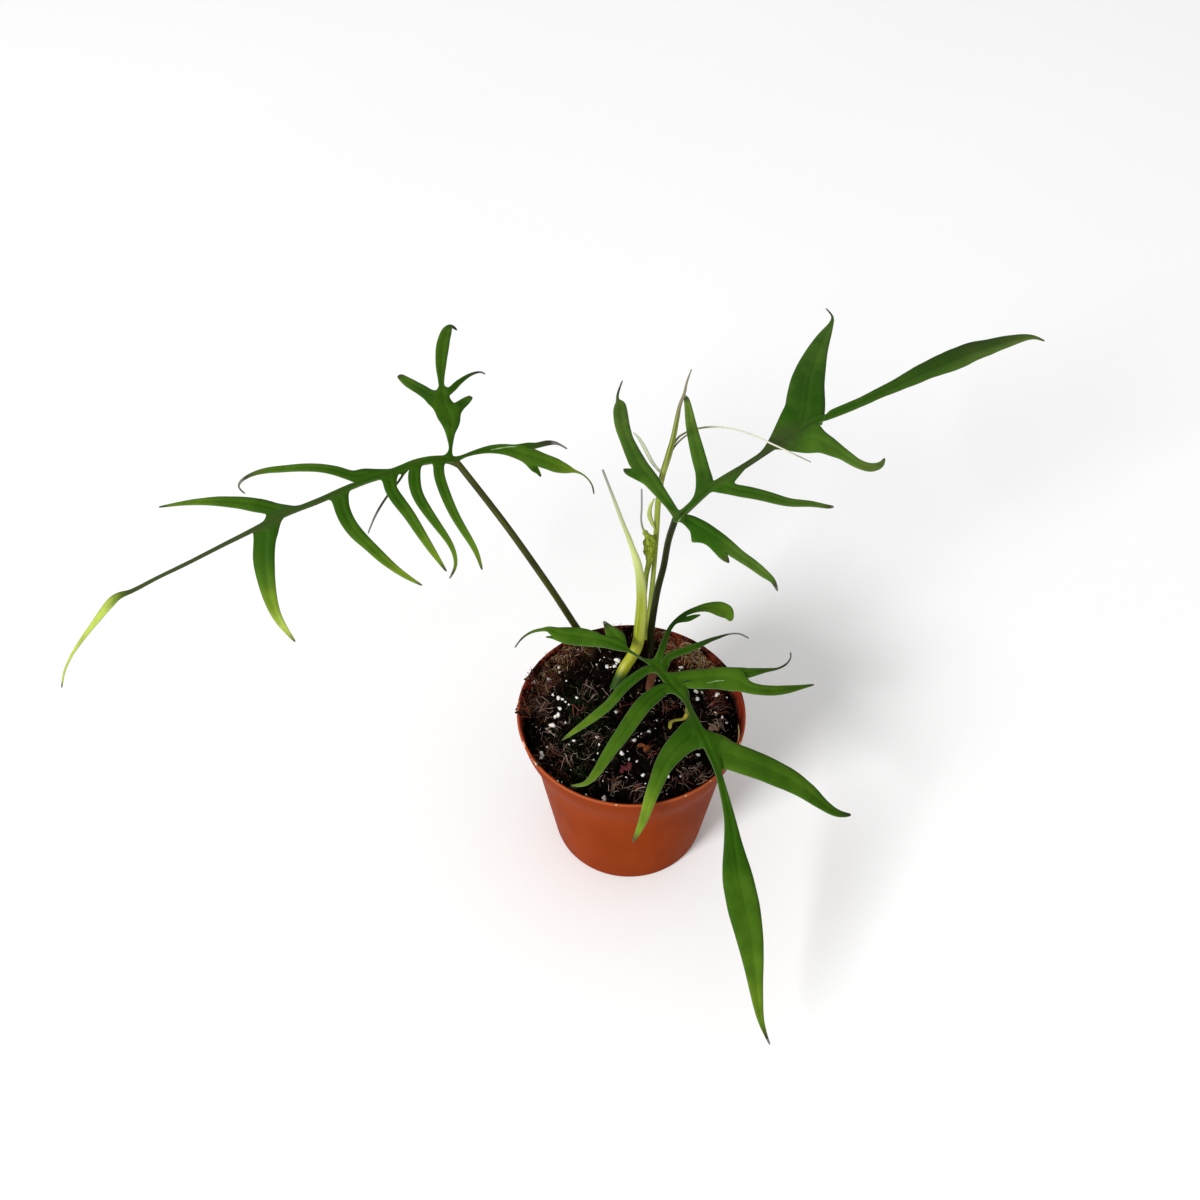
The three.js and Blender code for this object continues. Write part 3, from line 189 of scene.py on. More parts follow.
FRONT_LEAF = [
    strip("stalk", None, 0, (0.7, 8), up=(0.05, -0.25, 0.96), rows=[
        (10, 18, 116, 4), (13, 14, 116.5, 4.6), (16, 9, 117, 4.6), (19, 3, 117.5, 4.5),
        (23, -3, 118, 4.3), (27.5, -9, 118, 3.4), (29.5, -16, 118, 3.3), (32, -22, 118, 3.6),
        (34, -28, 117, 4.2), (36, -34, 117, 4.2), (38, -40, 116, 4), (40, -46, 116, 3.8),
        (42, -53, 115, 3.6), (43, -58, 114, 3.8), (45, -64, 109, 4.6), (47, -71, 103, 5.8),
        (48.5, -79.5, 95, 9.2), (50.5, -91, 84.5, 15.6), (54, -103, 73, 16.8), (57.5, -116, 61, 13),
        (59.5, -129, 49, 8), (61.5, -143, 39.5, 3.8), (64, -150, 35.5, 1.8), (66, -154, 33, 1)]),
    strip("back near", "start", 0, (0.22, 12, 0.1), up=(0.05, -0.3, 0.95), rows=[
        (5.7, 17.8, 118.6, 1.3), (2.1, 19.8, 119.6, 1.4), (-1.4, 22.1, 120.4, 2), (-5, 23.7, 121, 5.1),
        (-9.2, 25.6, 121.4, 6.7), (-14.7, 27.8, 121.5, 7.7), (-20.7, 29.7, 121, 9.4),
        (-26.8, 32, 119.8, 10.7), (-32.9, 34.1, 118.5, 10.7), (-39.1, 36.9, 117, 8.4),
        (-43.5, 41.2, 115.6, 3.8), (-47.3, 42.4, 113.8, 2.2), (-51.7, 42.9, 112, 1.9),
        (-55.4, 42.5, 110, 1.4), (-59.1, 40.3, 108, 1.1), (-62.2, 36.3, 106, 1)]),
    strip("back near up", "right", 4, (0.1, 8, 0.25), parent="back near", reach=3, rows=[
        (-8, 30, 121.8, 10.9), (-10.7, 34.8, 121.8, 6.7), (-13.1, 39.6, 121, 3.1),
        (-14.4, 42.5, 120.4, 1.5)]),
    strip("back near barb", "left", 9, (0.3, 0.6), parent="back near", rows=[
        (-40.9, 36, 114.8, 2.6), (-45.4, 38, 112.8, 1)]),
    strip("near 1", "right", 1, (0.7, 2), up=(-0.1, -0.3, 0.95), rows=[
        (8.8, 13, 116.2, 5), (2, 8, 115.6, 5.6), (-5, 2.8, 112.5, 5.8), (-11, -4, 109, 5.5),
        (-19, -10, 106, 5.2), (-28, -16, 103, 3.4), (-36, -21, 100, 1.2)]),
    strip("near 2", "right", 3.5, (0.75, 2), flare=0.5, up=(-0.1, -0.3, 0.95), rows=[
        (17.2, -0.6, 117.4, 6.4), (13, -3.6, 117.2, 8.2), (8, -8, 116.6, 9), (3.4, -13.4, 115.6, 9.1),
        (-4.5, -25, 112, 8.2), (-10, -32, 109, 6.9), (-14.5, -39, 107, 5.9), (-19, -46, 105, 4.6),
        (-24, -51, 104, 2.6), (-31, -51, 103, 1)]),
    strip("near 3", "right", 8, (0.95, 1), reach=3, up=(-0.1, -0.35, 0.93), rows=[
        (26, -33.5, 117, 13.6), (20.5, -38.5, 115.5, 11.9), (15, -46, 113, 9.3), (12, -53, 111, 7.9),
        (8, -62, 107, 6.4), (5, -69, 100, 4.8), (0, -76, 91, 1.8)]),
    strip("far 3", "left", 10, (-0.1, 5, 0.35), reach=4, up=(0.15, -0.2, 0.96), rows=[
        (47, -41, 115, 15.8), (54, -43, 113.5, 15.7), (63, -45, 111, 14.9), (72, -48, 108, 13.8),
        (80, -50.5, 105, 12.3), (88.5, -54, 100, 9.5), (95.5, -57.5, 95, 6.5), (103, -59, 90, 4.4),
        (110, -57, 86, 1.6)]),
    strip("far 2", "left", 3.5, (0.1, 5, 0.3), reach=3, up=(0, -0.25, 0.96), rows=[
        (26, 4.5, 118, 10.1), (33.2, 4, 118.8, 10.9), (40.4, 4.1, 119.4, 11.7),
        (47.6, 4.1, 119.8, 13.4), (54, 2.5, 119.6, 13.7), (58.9, -0.6, 118.6, 7.5),
        (65.4, -1.4, 117, 6.2), (72.9, -0.3, 115, 5.9), (80.7, 2.5, 112.5, 4.9), (88.7, 6.8, 109, 2.8),
        (96.1, 10.9, 106, 1)]),
    strip("far 2 up", "left", 4, (0, 30, 0.2), parent="far 2", rows=[
        (58, 8.1, 119, 6.7), (64, 9.7, 118, 4.7), (70.2, 12, 116.6, 2.6), (76.3, 14.2, 115, 1.3),
        (81.8, 19.2, 113, 1.2), (84.6, 24.8, 111.5, 1), (85, 29.7, 110, 1)]),
    strip("back far thin", "left", 1.5, (0.1, 30, 0.05), up=(0.1, -0.3, 0.95), rows=[
        (19.3, 20.2, 117, 4.4), (24.5, 23.3, 117, 4.4), (29.9, 26.2, 116.5, 4.1),
        (36, 29.9, 115.6, 3.4), (42.2, 34.3, 114.6, 2.5), (47.7, 37.6, 113.4, 1.8),
        (52.5, 40.7, 112, 1), (58, 42.4, 110.6, 1), (61.5, 42.1, 109, 1), (63.9, 41.6, 107.5, 1)]),
    strip("back far", "left", 0.5, (0.4, 1, 0.1, 0.42, 0.3), up=(0.35, -0.3, 0.85),
          up_tip=(-0.3, -0.5, 0.8), rows=[
        (14.8, 19.9, 118.5, 4.3), (16.4, 24.4, 120, 3.8), (18.3, 30.1, 121.3, 3),
        (20.4, 35.8, 122, 2.5), (23.9, 40.9, 122.4, 2.4), (28.9, 45.9, 122.4, 2.7),
        (35.1, 49.5, 122, 3.3), (41.2, 51.5, 121.5, 5.2), (47.4, 51.9, 120, 8.4),
        (52.4, 51.5, 117.5, 8.4), (54.4, 48.3, 114, 2.4)]),
    strip("back far barb", "right", 4.5, (0.3, 0.6), parent="back far", rows=[
        (30.1, 44, 120.4, 3.4), (33.6, 46, 120, 2.8), (37.4, 47.8, 119.6, 1)]),
]

# Stalks and sheaths, from their foot in the soil: x, y, z and thickness
PETIOLE_LEFT = [
    (-14, 41, 65, 4), (-25, 46, 101, 3.9), (-31.5, 46, 117, 3.8), (-44.5, 44, 150, 3.6),
    (-60.5, 47, 182, 3.5), (-77.5, 57.5, 204, 3.4), (-86.8, 65, 213, 3.4),
]

PETIOLE_RIGHT = [
    (12, 37, 65, 4), (11, 41, 100, 3.9), (11, 41, 114, 3.8), (13, 39, 147, 3.7), (15.5, 35, 170, 3.4),
    (17, 32, 191, 3.3), (19.5, 26, 212.8, 3.3),
]

PETIOLE_FRONT = [
    (8, 25, 65, 4.3), (11, 20, 99, 4.3), (12, 18, 108, 4.2), (12.6, 16, 114.4, 3.6),
]

SHEATH = [
    (-15, 15, 65, 6.8), (-4, 26, 99, 6.8), (3, 34, 108, 6.5), (5, 37, 128, 6.3), (5, 37, 150, 5.4),
    (3, 37, 168, 4.3), (-1, 38, 184, 2.7), (-6, 37, 202, 2), (-11, 37, 220, 1.8), (-15, 38, 233, 1.7),
]

SHOOT = [
    (8, 44, 65, 3.3), (10, 53, 103, 3.2), (11, 56, 121, 2.8), (12, 58, 146, 2.6), (12.6, 59, 172, 3),
    (12.8, 59, 190, 3), (13.8, 59, 205, 2.9),
]

OLD_SHEATH = [
    (0, 42, 65, 2.4), (4, 49, 102, 2.2), (7, 54, 124, 2), (8, 55, 143, 2), (9, 55, 151, 2.2),
    (9.6, 54.5, 157, 4.4), (9.6, 54.5, 162, 6), (9.4, 55, 166, 6.4), (9, 55.5, 169.3, 5.6),
    (7.6, 56.5, 171.6, 3), (5.8, 57.5, 174.5, 1.3), (4.6, 58, 180, 1.1), (4.6, 58, 190, 1.1),
    (4.3, 58, 202, 1),
]


class Curve:
    """Centripetal Catmull-Rom curve through rows of x, y, z and size."""

    def __init__(self, rows):
        self.points = [Vector(row[:3]) for row in rows]
        self.sizes = [row[3] for row in rows]
        self.last = len(rows) - 1

    def at(self, k):
        p = self.points
        i = min(int(k), self.last - 1)
        f = k - i
        p1, p2 = p[i], p[i + 1]
        p0 = p[i - 1] if i else 2 * p1 - p2
        p3 = p[i + 2] if i + 2 <= self.last else 2 * p2 - p1
        d0, d1, d2 = (math.sqrt((b - a).length) for a, b in ((p0, p1), (p1, p2), (p2, p3)))
        t1 = ((p1 - p0) / d0 - (p2 - p0) / (d0 + d1) + (p2 - p1) / d1) * d1
        t2 = ((p2 - p1) / d1 - (p3 - p1) / (d1 + d2) + (p3 - p2) / d2) * d1
        c2 = 3 * (p2 - p1) - 2 * t1 - t2
        c3 = 2 * (p1 - p2) + t1 + t2
        centre = p1 + t1 * f + c2 * f ** 2 + c3 * f ** 3
        heading = (t1 + 2 * c2 * f + 3 * c3 * f ** 2).normalized()
        return centre, heading

    def size(self, k):
        i = min(int(k), self.last - 1)
        f = k - i
        ease = f * f * (3 - 2 * f)
        return self.sizes[i] * (1 - ease) + self.sizes[i + 1] * ease


def smoothstep(low, high, x):
    f = min(1, max(0, (x - low) / (high - low)))
    return f * f * (3 - 2 * f)


# Meshes

def link(name, data):
    """A new object of the scene."""
    made = bpy.data.objects.new(name, data)
    bpy.context.scene.collection.objects.link(made)
    return made


def around(radius, turn, flat=1):
    """Point of a circle, or of one that is flat by this factor."""
    return radius * math.cos(turn), flat * radius * math.sin(turn)


def ring(low, high, sides):
    """Faces between two rings of points, which start at low and at high."""
    return [[low + i, low + (i + 1) % sides, high + (i + 1) % sides, high + i] for i in range(sides)]


def make(name, points, faces, materials, node=None, layers=None, face_slots=None):
    """A piece from points in mm, riding on the one body, with named vertex layers."""
    mesh = bpy.data.meshes.new(name)
    mesh.from_pydata([Vector(p) * MM for p in points], [], faces)
    for key, values in (layers or {}).items():
        if isinstance(values[0], (int, float)):
            layer = mesh.attributes.new(key, "FLOAT", "POINT")
            layer.data.foreach_set("value", values)
        else:
            layer = mesh.attributes.new(key, "FLOAT_VECTOR", "POINT")
            layer.data.foreach_set("vector", [c for v in values for c in v])
    for material in materials:
        mesh.materials.append(material)
    if face_slots:
        mesh.polygons.foreach_set("material_index", face_slots)
    mesh.shade_smooth()
    mesh.update()
    piece = link(name, mesh)
    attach(piece, "root")
    if node:
        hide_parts(node)
    return piece


def drawn(name, skin, material, node=None):
    """A piece of one tube."""
    points, faces, flow = skin
    return make(name, points, faces, [material], node, {"flow": flow})


class Pile:
    """Several closed skins gathered into one mesh."""

    def __init__(self):
        self.points = []
        self.faces = []
        self.layers = {}
        self.face_slots = []

    def add(self, skin, face_slot=0, **layers):
        points, faces = skin[:2]
        base = len(self.points)
        self.points += points
        self.faces += [[i + base for i in face] for face in faces]
        self.face_slots += [face_slot] * len(faces)
        for key, values in layers.items():
            if not isinstance(values, list):
                values = [values] * len(points)
            self.layers.setdefault(key, []).extend(values)

    def make(self, name, materials, slot, node=None):
        return make(
            name, self.points, self.faces, materials, node, self.layers, self.face_slots
        )


def tube(rows, facing, sides, steps, section=None):
    """Skin along rows with rounded ends. Flow holds the turn and the length along it."""
    curve = Curve(rows)
    facing = Vector(facing)
    stations = [(k / steps, 0, 1) for k in range(curve.last * steps + 1)]
    rounding = [math.radians(a) for a in (35, 65, 85)]
    stations = [(0, -math.sin(a), math.cos(a)) for a in reversed(rounding)] + stations
    stations += [(curve.last, math.sin(a), math.cos(a)) for a in rounding]
    points, faces, flow = [], [], []
    length = 0
    previous = None
    for i, (k, beyond, shrink) in enumerate(stations):
        centre, heading = curve.at(k)
        if previous is not None:
            length += (centre - previous).length
        previous = centre.copy()
        u = facing.cross(heading).normalized()
        v = heading.cross(u)
        size = curve.size(k)
        along = k / curve.last
        for j in range(sides):
            turn = 2 * math.pi * j / sides
            a, b = section(turn, size, along) if section else around(0.5 * size, turn)
            points.append(centre + heading * beyond * 0.5 * size + (u * a + v * b) * shrink)
            flow.append((*around(1, turn), length))
        if i:
            faces += ring((i - 1) * sides, i * sides, sides)
    faces.append(list(reversed(range(sides))))
    top = len(points) - sides
    faces.append([top + j for j in range(sides)])
    return points, faces, flow


def lump(centre, radius, squash, rough, seed, level=1):
    """Small uneven closed lump."""
    ball = bmesh.new()
    bmesh.ops.create_icosphere(ball, subdivisions=level, radius=1)
    turn = Matrix.Rotation(seed * 2.399, 3, "Z")
    points = []
    for vert in ball.verts:
        swell = 1 + rough * noise.noise(vert.co * 1.3 + Vector((seed * 7.1, seed * 3.3, 0)))
        p = Vector((vert.co.x * 1.25, vert.co.y * 0.85, vert.co.z * squash)) * radius * swell
        points.append(turn @ p + Vector(centre))
    faces = [[v.index for v in face.verts] for face in ball.faces]
    ball.free()
    return points, faces


# Leaf sheets

# The rows' widths are the solids'; the sheet is this much narrower, but at least so wide
EDGE_INSET = 0.15
THINNEST = 0.5


def leaf_cage(strips):
    """Control cage of a leaf: strips of three columns that share their edge points."""
    points, faces, laid = [], [], {}
    layers = {key: [] for key in ("mid", "lobe", "pale", "burn", "fresh", "bare", "shade")}

    def push(p, **values):
        points.append(p)
        for key, layer in layers.items():
            layer.append(values.get(key, 0))
        return len(points) - 1

    def zip_rows(a, b):
        if len(a) == len(b):
            for i in range(len(a) - 1):
                faces.append([a[i], a[i + 1], b[i + 1], b[i]])
            return
        i = j = 0
        while i < len(a) - 1 or j < len(b) - 1:
            next_a = (i + 1) / (len(a) - 1) if i < len(a) - 1 else 2
            next_b = (j + 1) / (len(b) - 1) if j < len(b) - 1 else 2
            if next_a <= next_b:
                faces.append([a[i], a[i + 1], b[j]])
                i += 1
            else:
                faces.append([a[i], b[j + 1], b[j]])
                j += 1

    for lobe in strips:
        parent = laid.get(lobe["parent"])
        up = Vector(lobe["up"] or parent["up"]).normalized()
        up_tip = Vector(lobe["up_tip"] or up).normalized()
        fold, look = lobe["fold"], lobe["look"]
        pale, burn, fresh, painted_shade_at, painted_shade_share, painted_shade_far_half = (*look, *[0] * (6 - len(look)))
        rows, half = [], {}
        controls, start = lobe["rows"], 0
        if parent:
            reach = lobe["reach"]
            if lobe["side"] == "start":
                chain = list(reversed(parent["rows"][0]))
            else:
                column = 0 if lobe["side"] == "left" else 2
                middle = parent["half"][2 * lobe["at"]]
                chain = [parent["rows"][i][column] for i in range(middle - reach, middle + reach + 1)]
                if column == 2:
                    chain.reverse()
            rows.append(chain)
            centre = chain[len(chain) // 2]
            layers["mid"][centre] = 0.6
            root = points[centre]
            span = (points[chain[0]] - points[chain[-1]]).length
            first = lobe["rows"][0]
            flare = first[3] + lobe["flare"] * (span - first[3])
            controls = [(root.x, root.y, root.z, flare)] + list(lobe["rows"])
            start = 1 if (root - Vector(first[:3])).length > 4 else 2
        curve = Curve(controls)
        last = 2 * curve.last
        total = sum(
            (curve.at(i / 2)[0] - curve.at((i - 1) / 2)[0]).length for i in range(1, last + 1))
        plain = 0 if parent else 2 * max(s["at"] for s in strips if s["parent"] == "stalk") / last
        gone = 0
        before = curve.at(max(start - 1, 0) / 2)[0]
        for i in range(start, last + 1):
            centre, heading = curve.at(i / 2)
            gone += (centre - before).length
            before = centre
            to_tip = i / last
            lean = up.lerp(up_tip, to_tip).normalized()
            side = lean.cross(heading).normalized()
            normal = heading.cross(side)
            width = curve.size(i / 2)
            reach = max(width - EDGE_INSET, THINNEST) / 2
            edge = centre + normal * fold * reach
            values = {
                "lobe": max(0, (gone / total - plain) / (1 - plain)),
                "pale": pale,
                "burn": 1 - smoothstep(0.3 * burn, 1.25 * burn, total - gone),
                "bare": 0 if parent else smoothstep(4.0, 2.5, width) * (to_tip < 0.72),
                "fresh": fresh,
            }
            # Painted shade: a darkening band along the strip, on its far half only where the look asks,
            # standing for shade on folds, bends and a folded blade's far half.
            off = (values["lobe"] - painted_shade_at) / painted_shade_share if painted_shade_share else 9
            shade = math.exp(-(off ** 2))
            half[i - 2 if parent else i] = len(rows)
            rows.append([
                push(edge + side * reach, shade=shade, **values),
                push(centre, mid=1, shade=shade * (0.7 if painted_shade_far_half else 1), **values),
                push(edge - side * reach, shade=0 if painted_shade_far_half else shade, **values),
            ])
        for low, high in zip(rows, rows[1:]):
            zip_rows(low, high)
        laid[lobe["name"]] = {"rows": rows, "half": half, "up": up}
    return points, faces, layers


def refined(points, faces, layers):
    """The cage rounded by subdivision, with its layers carried along."""
    mesh = bpy.data.meshes.new("cage")
    mesh.from_pydata(points, [], faces)
    for key, values in layers.items():
        mesh.attributes.new(key, "FLOAT", "POINT").data.foreach_set("value", values)
    cage = link("cage", mesh)
    fine = cage.modifiers.new("round", "SUBSURF")
    fine.levels = fine.render_levels = 2
    done = bpy.data.meshes.new_from_object(
        cage.evaluated_get(bpy.context.evaluated_depsgraph_get()))
    out_points = [v.co.copy() for v in done.vertices]
    out_normals = [Vector(n.vector) for n in done.vertex_normals]
    out_faces = [list(p.vertices) for p in done.polygons]
    out_layers = {}
    for key in layers:
        values = [0.0] * len(out_points)
        done.attributes[key].data.foreach_get("value", values)
        out_layers[key] = values
    bpy.data.objects.remove(cage)
    bpy.data.meshes.remove(mesh)
    bpy.data.meshes.remove(done)
    return out_points, out_normals, out_faces, out_layers


def nearest(points, chosen):
    """Distance from each point to the nearest of the chosen ones."""
    tree = kdtree.KDTree(len(chosen))
    for i in chosen:
        tree.insert(points[i], i)
    tree.balance()
    return [tree.find(p)[2] for p in points]


def leaf(name, strips, rachis, thick, shown, leaf_materials, node):
    """A leaf blade: thin two-faced sheet with a grooved midrib, and its rachis below."""
    points, normals, faces, layers = refined(*leaf_cage(strips))
    seen = dict.fromkeys((a, b) for face in faces for a, b in zip(face, face[1:] + face[:1]))
    border = [(a, b) for a, b in seen if (b, a) not in seen]
    rim = nearest(points, sorted({i for pair in border for i in pair}))
    vein = nearest(points, [i for i, m in enumerate(layers["mid"]) if m > 0.97])
    tops, unders = [], []
    for p, n, r, d in zip(points, normals, rim, vein):
        half = r + d
        across = d / half if half else 1
        belly = 0.09 * min(half, 6) * math.sin(math.pi * across)
        groove = 0.14 * math.exp(-((d / 0.6) ** 2)) * min(1, half / 3)
        wave = 0.09 * min(half, 6) * across ** 2 * noise.noise(p * 0.11)
        quilt = 0.07 * min(1, half / 3) * noise.noise(p * 0.45)
        centre = p + n * (belly - groove + wave + quilt)
        skin = 0.11 + 0.1 * min(1, r / 1.2)
        ridge = 0.45 * math.exp(-((d / 0.7) ** 2)) * min(1, half / 3)
        tops.append(centre + n * skin)
        unders.append(centre - n * (skin + ridge))
    count = len(points)
    closed = faces + [[i + count for i in reversed(face)] for face in faces]
    closed += [[b, a, a + count, b + count] for a, b in border]
    pile = Pile()
    layers.update(vein=vein, rim=rim)
    doubled = {key: values * 2 for key, values in layers.items()}
    under = [0.0] * count + [1.0] * count
    pile.add((tops + unders, closed), 0, under=under, flow=(0.0, 0.0, 0.0), **doubled)
    stalk = Curve(strips[0]["rows"])
    up = Vector(strips[0]["up"]).normalized()
    rows = [(*rachis, thick)]
    fade = 0.75 if shown > 0.5 else 1.6
    for i in range(1, stalk.last + 1):
        centre, heading = stalk.at(i)
        s = i / stalk.last
        size = max(0.3, thick * (1 - s) ** fade)
        side = up.cross(heading).normalized()
        below = centre - heading.cross(side) * size * (0.42 if s < shown else 0.54)
        rows.append((*below, size))
    skin = tube(rows, up, 10, 3)
    pile.add(skin, 1, flow=skin[2], **dict.fromkeys(("under", *layers), 0.0))
    return pile.make(name, leaf_materials, "leaf", node)


# Materials

class Shader:
    """Short words for building one node material."""

    def __init__(self, name, roughness, specular):
        self.material = bpy.data.materials.new(name)
        self.material.use_nodes = True
        self.tree = self.material.node_tree
        self.tree.nodes.clear()
        output = self.tree.nodes.new("ShaderNodeOutputMaterial")
        self.surface = self.tree.nodes.new("ShaderNodeBsdfPrincipled")
        self.tree.links.new(self.surface.outputs[0], output.inputs[0])
        self.surface.inputs["Roughness"].default_value = roughness
        self.surface.inputs["Specular IOR Level"].default_value = specular

    def put(self, socket, value):
        if isinstance(value, bpy.types.NodeSocket):
            self.tree.links.new(value, socket)
        elif isinstance(value, tuple) and len(value) == 3 and socket.type == "RGBA":
            socket.default_value = (*value, 1)
        else:
            socket.default_value = value

    def node(self, kind, out=0, sockets=None, **settings):
        made = self.tree.nodes.new("ShaderNode" + kind)
        for key, value in settings.items():
            setattr(made, key, value)
        for key, value in (sockets or {}).items():
            self.put(made.inputs[key], value)
        return made.outputs[out]

    def value(self, layer):
        return self.node("Attribute", 2, attribute_name=layer)

    def vector(self, layer):
        return self.node("Attribute", 1, attribute_name=layer)

    def place(self, scale, source=None):
        source = source or self.node("TexCoord", 3)
        return self.node("Mapping", sockets={"Vector": source, "Scale": scale})

    def noise(self, scale, detail=3, rough=0.55, place=None):
        place = place or self.node("TexCoord", 3)
        return self.node(
            "TexNoise", 0, {"Vector": place, "Scale": scale, "Detail": detail, "Roughness": rough})

    def axis(self, out, source=None):
        return self.node("SeparateXYZ", out, {0: source or self.node("TexCoord", 3)})

    def range(self, value, low, high, to_low=0.0, to_high=1.0):
        return self.node(
            "MapRange", 0,
            {"Value": value, "From Min": low, "From Max": high, "To Min": to_low, "To Max": to_high},
            interpolation_type="SMOOTHSTEP")

    def math(self, kind, a, b=0.0):
        return self.node("Math", 0, {0: a, 1: b}, operation=kind)

    def times(self, a, b):
        return self.math("MULTIPLY", a, b)

    def plus(self, a, b):
        return self.math("ADD", a, b)

    def mix(self, amount, a, b):
        made = self.tree.nodes.new("ShaderNodeMix")
        made.data_type = "RGBA"
        self.put(made.inputs[0], amount)
        self.put(made.inputs[6], a)
        self.put(made.inputs[7], b)
        return made.outputs[2]

    def coats(self, colour, coats):
        """Coats over a colour: factor and colour, or value, low, high, colour and share."""
        for coat in coats:
            if len(coat) == 2:
                factor, over = coat
            else:
                value, low, high, over, *share = coat
                factor = self.range(value, low, high, 0, *(share or [1]))
            colour = self.mix(factor, colour, over)
        return colour

    def finish(self, colour, bump=None, strength=0.3, distance=0.0004, roughness=None):
        self.put(self.surface.inputs["Base Color"], colour)
        if roughness is not None:
            self.put(self.surface.inputs["Roughness"], roughness)
        if bump is not None:
            normal = self.node(
                "Bump", 0, {"Strength": strength, "Distance": distance, "Height": bump})
            self.put(self.surface.inputs["Normal"], normal)
        return self.material


def rgb(r, g, b):
    """Linear colour from 0 to 255 screen values."""
    return tuple(
        c / 12.92 / 255 if c <= 10 else ((c / 255 + 0.055) / 1.055) ** 2.4 for c in (r, g, b))


def leaf_material(name, deep, fresh, young, bright):
    """Blade skin: greener towards its base, brighter where it is young, burnt at its tips, with shade
    painted in where its shade layer says.
    """
    s = Shader(name, 0.45, 0.018)
    lobe, pale, burn = s.value("lobe"), s.value("pale"), s.value("burn")
    vein, rim, under = s.value("vein"), s.value("rim"), s.value("under")
    broad = s.noise(42, 3)
    fine = s.noise(620, 4, 0.6)
    streak = s.noise(160, 3, 0.6, s.place((1, 1, 0.4)))
    grow = s.times(s.range(lobe, 0.05, 1.0), pale)
    grow = s.plus(grow, s.value("fresh"))
    grow = s.plus(grow, s.range(broad, 0.35, 0.75, -0.1, 0.2))
    line = s.range(vein, 0.05, 0.5, 1, 0)
    beside = s.times(s.range(vein, 0.5, 1.2), s.range(vein, 3.2, 1.2))
    edge = s.range(rim, 0.05, 0.4, 1, 0)
    below = s.mix(s.range(streak, 0.3, 0.7), rgb(74, 116, 52), rgb(92, 134, 60))
    below = s.mix(s.range(vein, 0.2, 1.0, 0.55, 0), below, rgb(132, 152, 92))
    dark = s.times(burn, s.range(fine, 0.2, 0.6, 0.75, 1.0))
    height = s.plus(s.times(streak, 0.5), s.times(fine, 0.35))
    gloss = s.range(broad, 0.3, 0.7, 0.4, 0.52)
    colour = s.coats(deep, [
        (grow, 0, 0.5, fresh), (grow, 0.4, 0.95, young), (grow, 0.95, 1.5, bright),
        (streak, 0.4, 0.75, tuple(0.55 * c for c in deep), 0.25), (fine, 0.5, 0.8, fresh, 0.2),
        (s.times(line, 0.16), tuple(0.4 * c for c in deep)), (s.times(beside, 0.16), fresh),
        (s.times(edge, 0.42), rgb(122, 126, 104)), (under, 0.4, 0.6, below),
        # Painted shade: the shade layer darkens the blade where it is folded, bent or turned away from the
        # lamp.
        (s.times(s.value("shade"), 0.85), rgb(22, 44, 10)), (dark, rgb(52, 46, 38)),
        (burn, 0.9, 1.0, rgb(116, 114, 106), 0.75), (s.times(s.value("bare"), 0.85), rgb(54, 64, 34))])
    return s.finish(colour, height, 0.2, 0.0003, gloss)


def stalk_material(name, colours, rough, spots=0):
    """Stem skin with lengthwise streaks read along the tube."""
    s = Shader(name, rough, 0.12)
    flow = s.vector("flow")
    streak = s.noise(1.7, 4, 0.6, s.place((2.2, 2.2, 0.035), flow))
    patch = s.noise(0.9, 3, 0.5, s.place((0.5, 0.5, 0.06), flow))
    fleck = s.noise(3.6, 3, 0.6, s.place((1.2, 1.2, 0.5), flow))
    height = s.plus(streak, s.times(fleck, 0.3))
    colour = s.coats(colours[0], [
        (streak, 0.32, 0.68, colours[1]), (patch, 0.42, 0.75, colours[2], 0.7),
        (fleck, 0.62, 0.8, colours[3], 0.25 + spots)])
    return s.finish(colour, height, 0.25, 0.0004, s.range(patch, 0.3, 0.7, rough - 0.06, rough + 0.08))


def pot_material():
    """Orange brown plastic: clouded, scratched, painted pale on the lip as a highlight, and dusty at its
    foot.
    """
    s = Shader("pot_plastic", 0.5, 0.012)
    height = s.axis(2)
    cloud = s.noise(26, 4)
    grain = s.noise(1500, 2, 0.5)
    drift = s.noise(60, 5, 0.65, s.place((1, 1, 0.25)))
    scratch = s.noise(120, 3, 0.7, s.place((0.35, 0.35, 3.2)))
    lip = s.range(height, 0.0968, 0.0974, 0, 1)
    ragged = s.plus(s.axis(1), s.range(cloud, 0.3, 0.7, -0.008, 0.008))
    back = s.range(ragged, 0.0, 0.02)
    nick = s.range(s.noise(210, 2, 0.5), 0.64, 0.7)
    worn = s.mix(s.range(s.noise(180, 4, 0.7), 0.4, 0.62), rgb(62, 24, 14), rgb(122, 46, 28))
    dusty = s.times(s.range(s.noise(75, 5, 0.7), 0.55, 0.72), s.range(height, 0.014, 0.0, 0, 0.5))
    bump = s.plus(s.times(grain, 0.25), drift)
    rough = s.range(drift, 0.3, 0.75, 0.42, 0.56)
    colour = s.coats(rgb(121, 44, 5), [
        (cloud, 0.3, 0.7, rgb(132, 51, 10)), (drift, 0.5, 0.8, rgb(112, 38, 6), 0.3),
        # Painted highlight: the top band of the lip is painted paler orange; its back keeps the worn
        # colour.
        (scratch, 0.66, 0.72, rgb(148, 75, 35), 0.25), (s.times(lip, 0.5), rgb(177, 95, 55)),
        (s.times(s.times(nick, lip), 0.7), rgb(232, 184, 152)), (s.times(back, lip), worn),
        (dusty, rgb(88, 44, 20))])
    return s.finish(colour, bump, 0.12, 0.0003, rough)


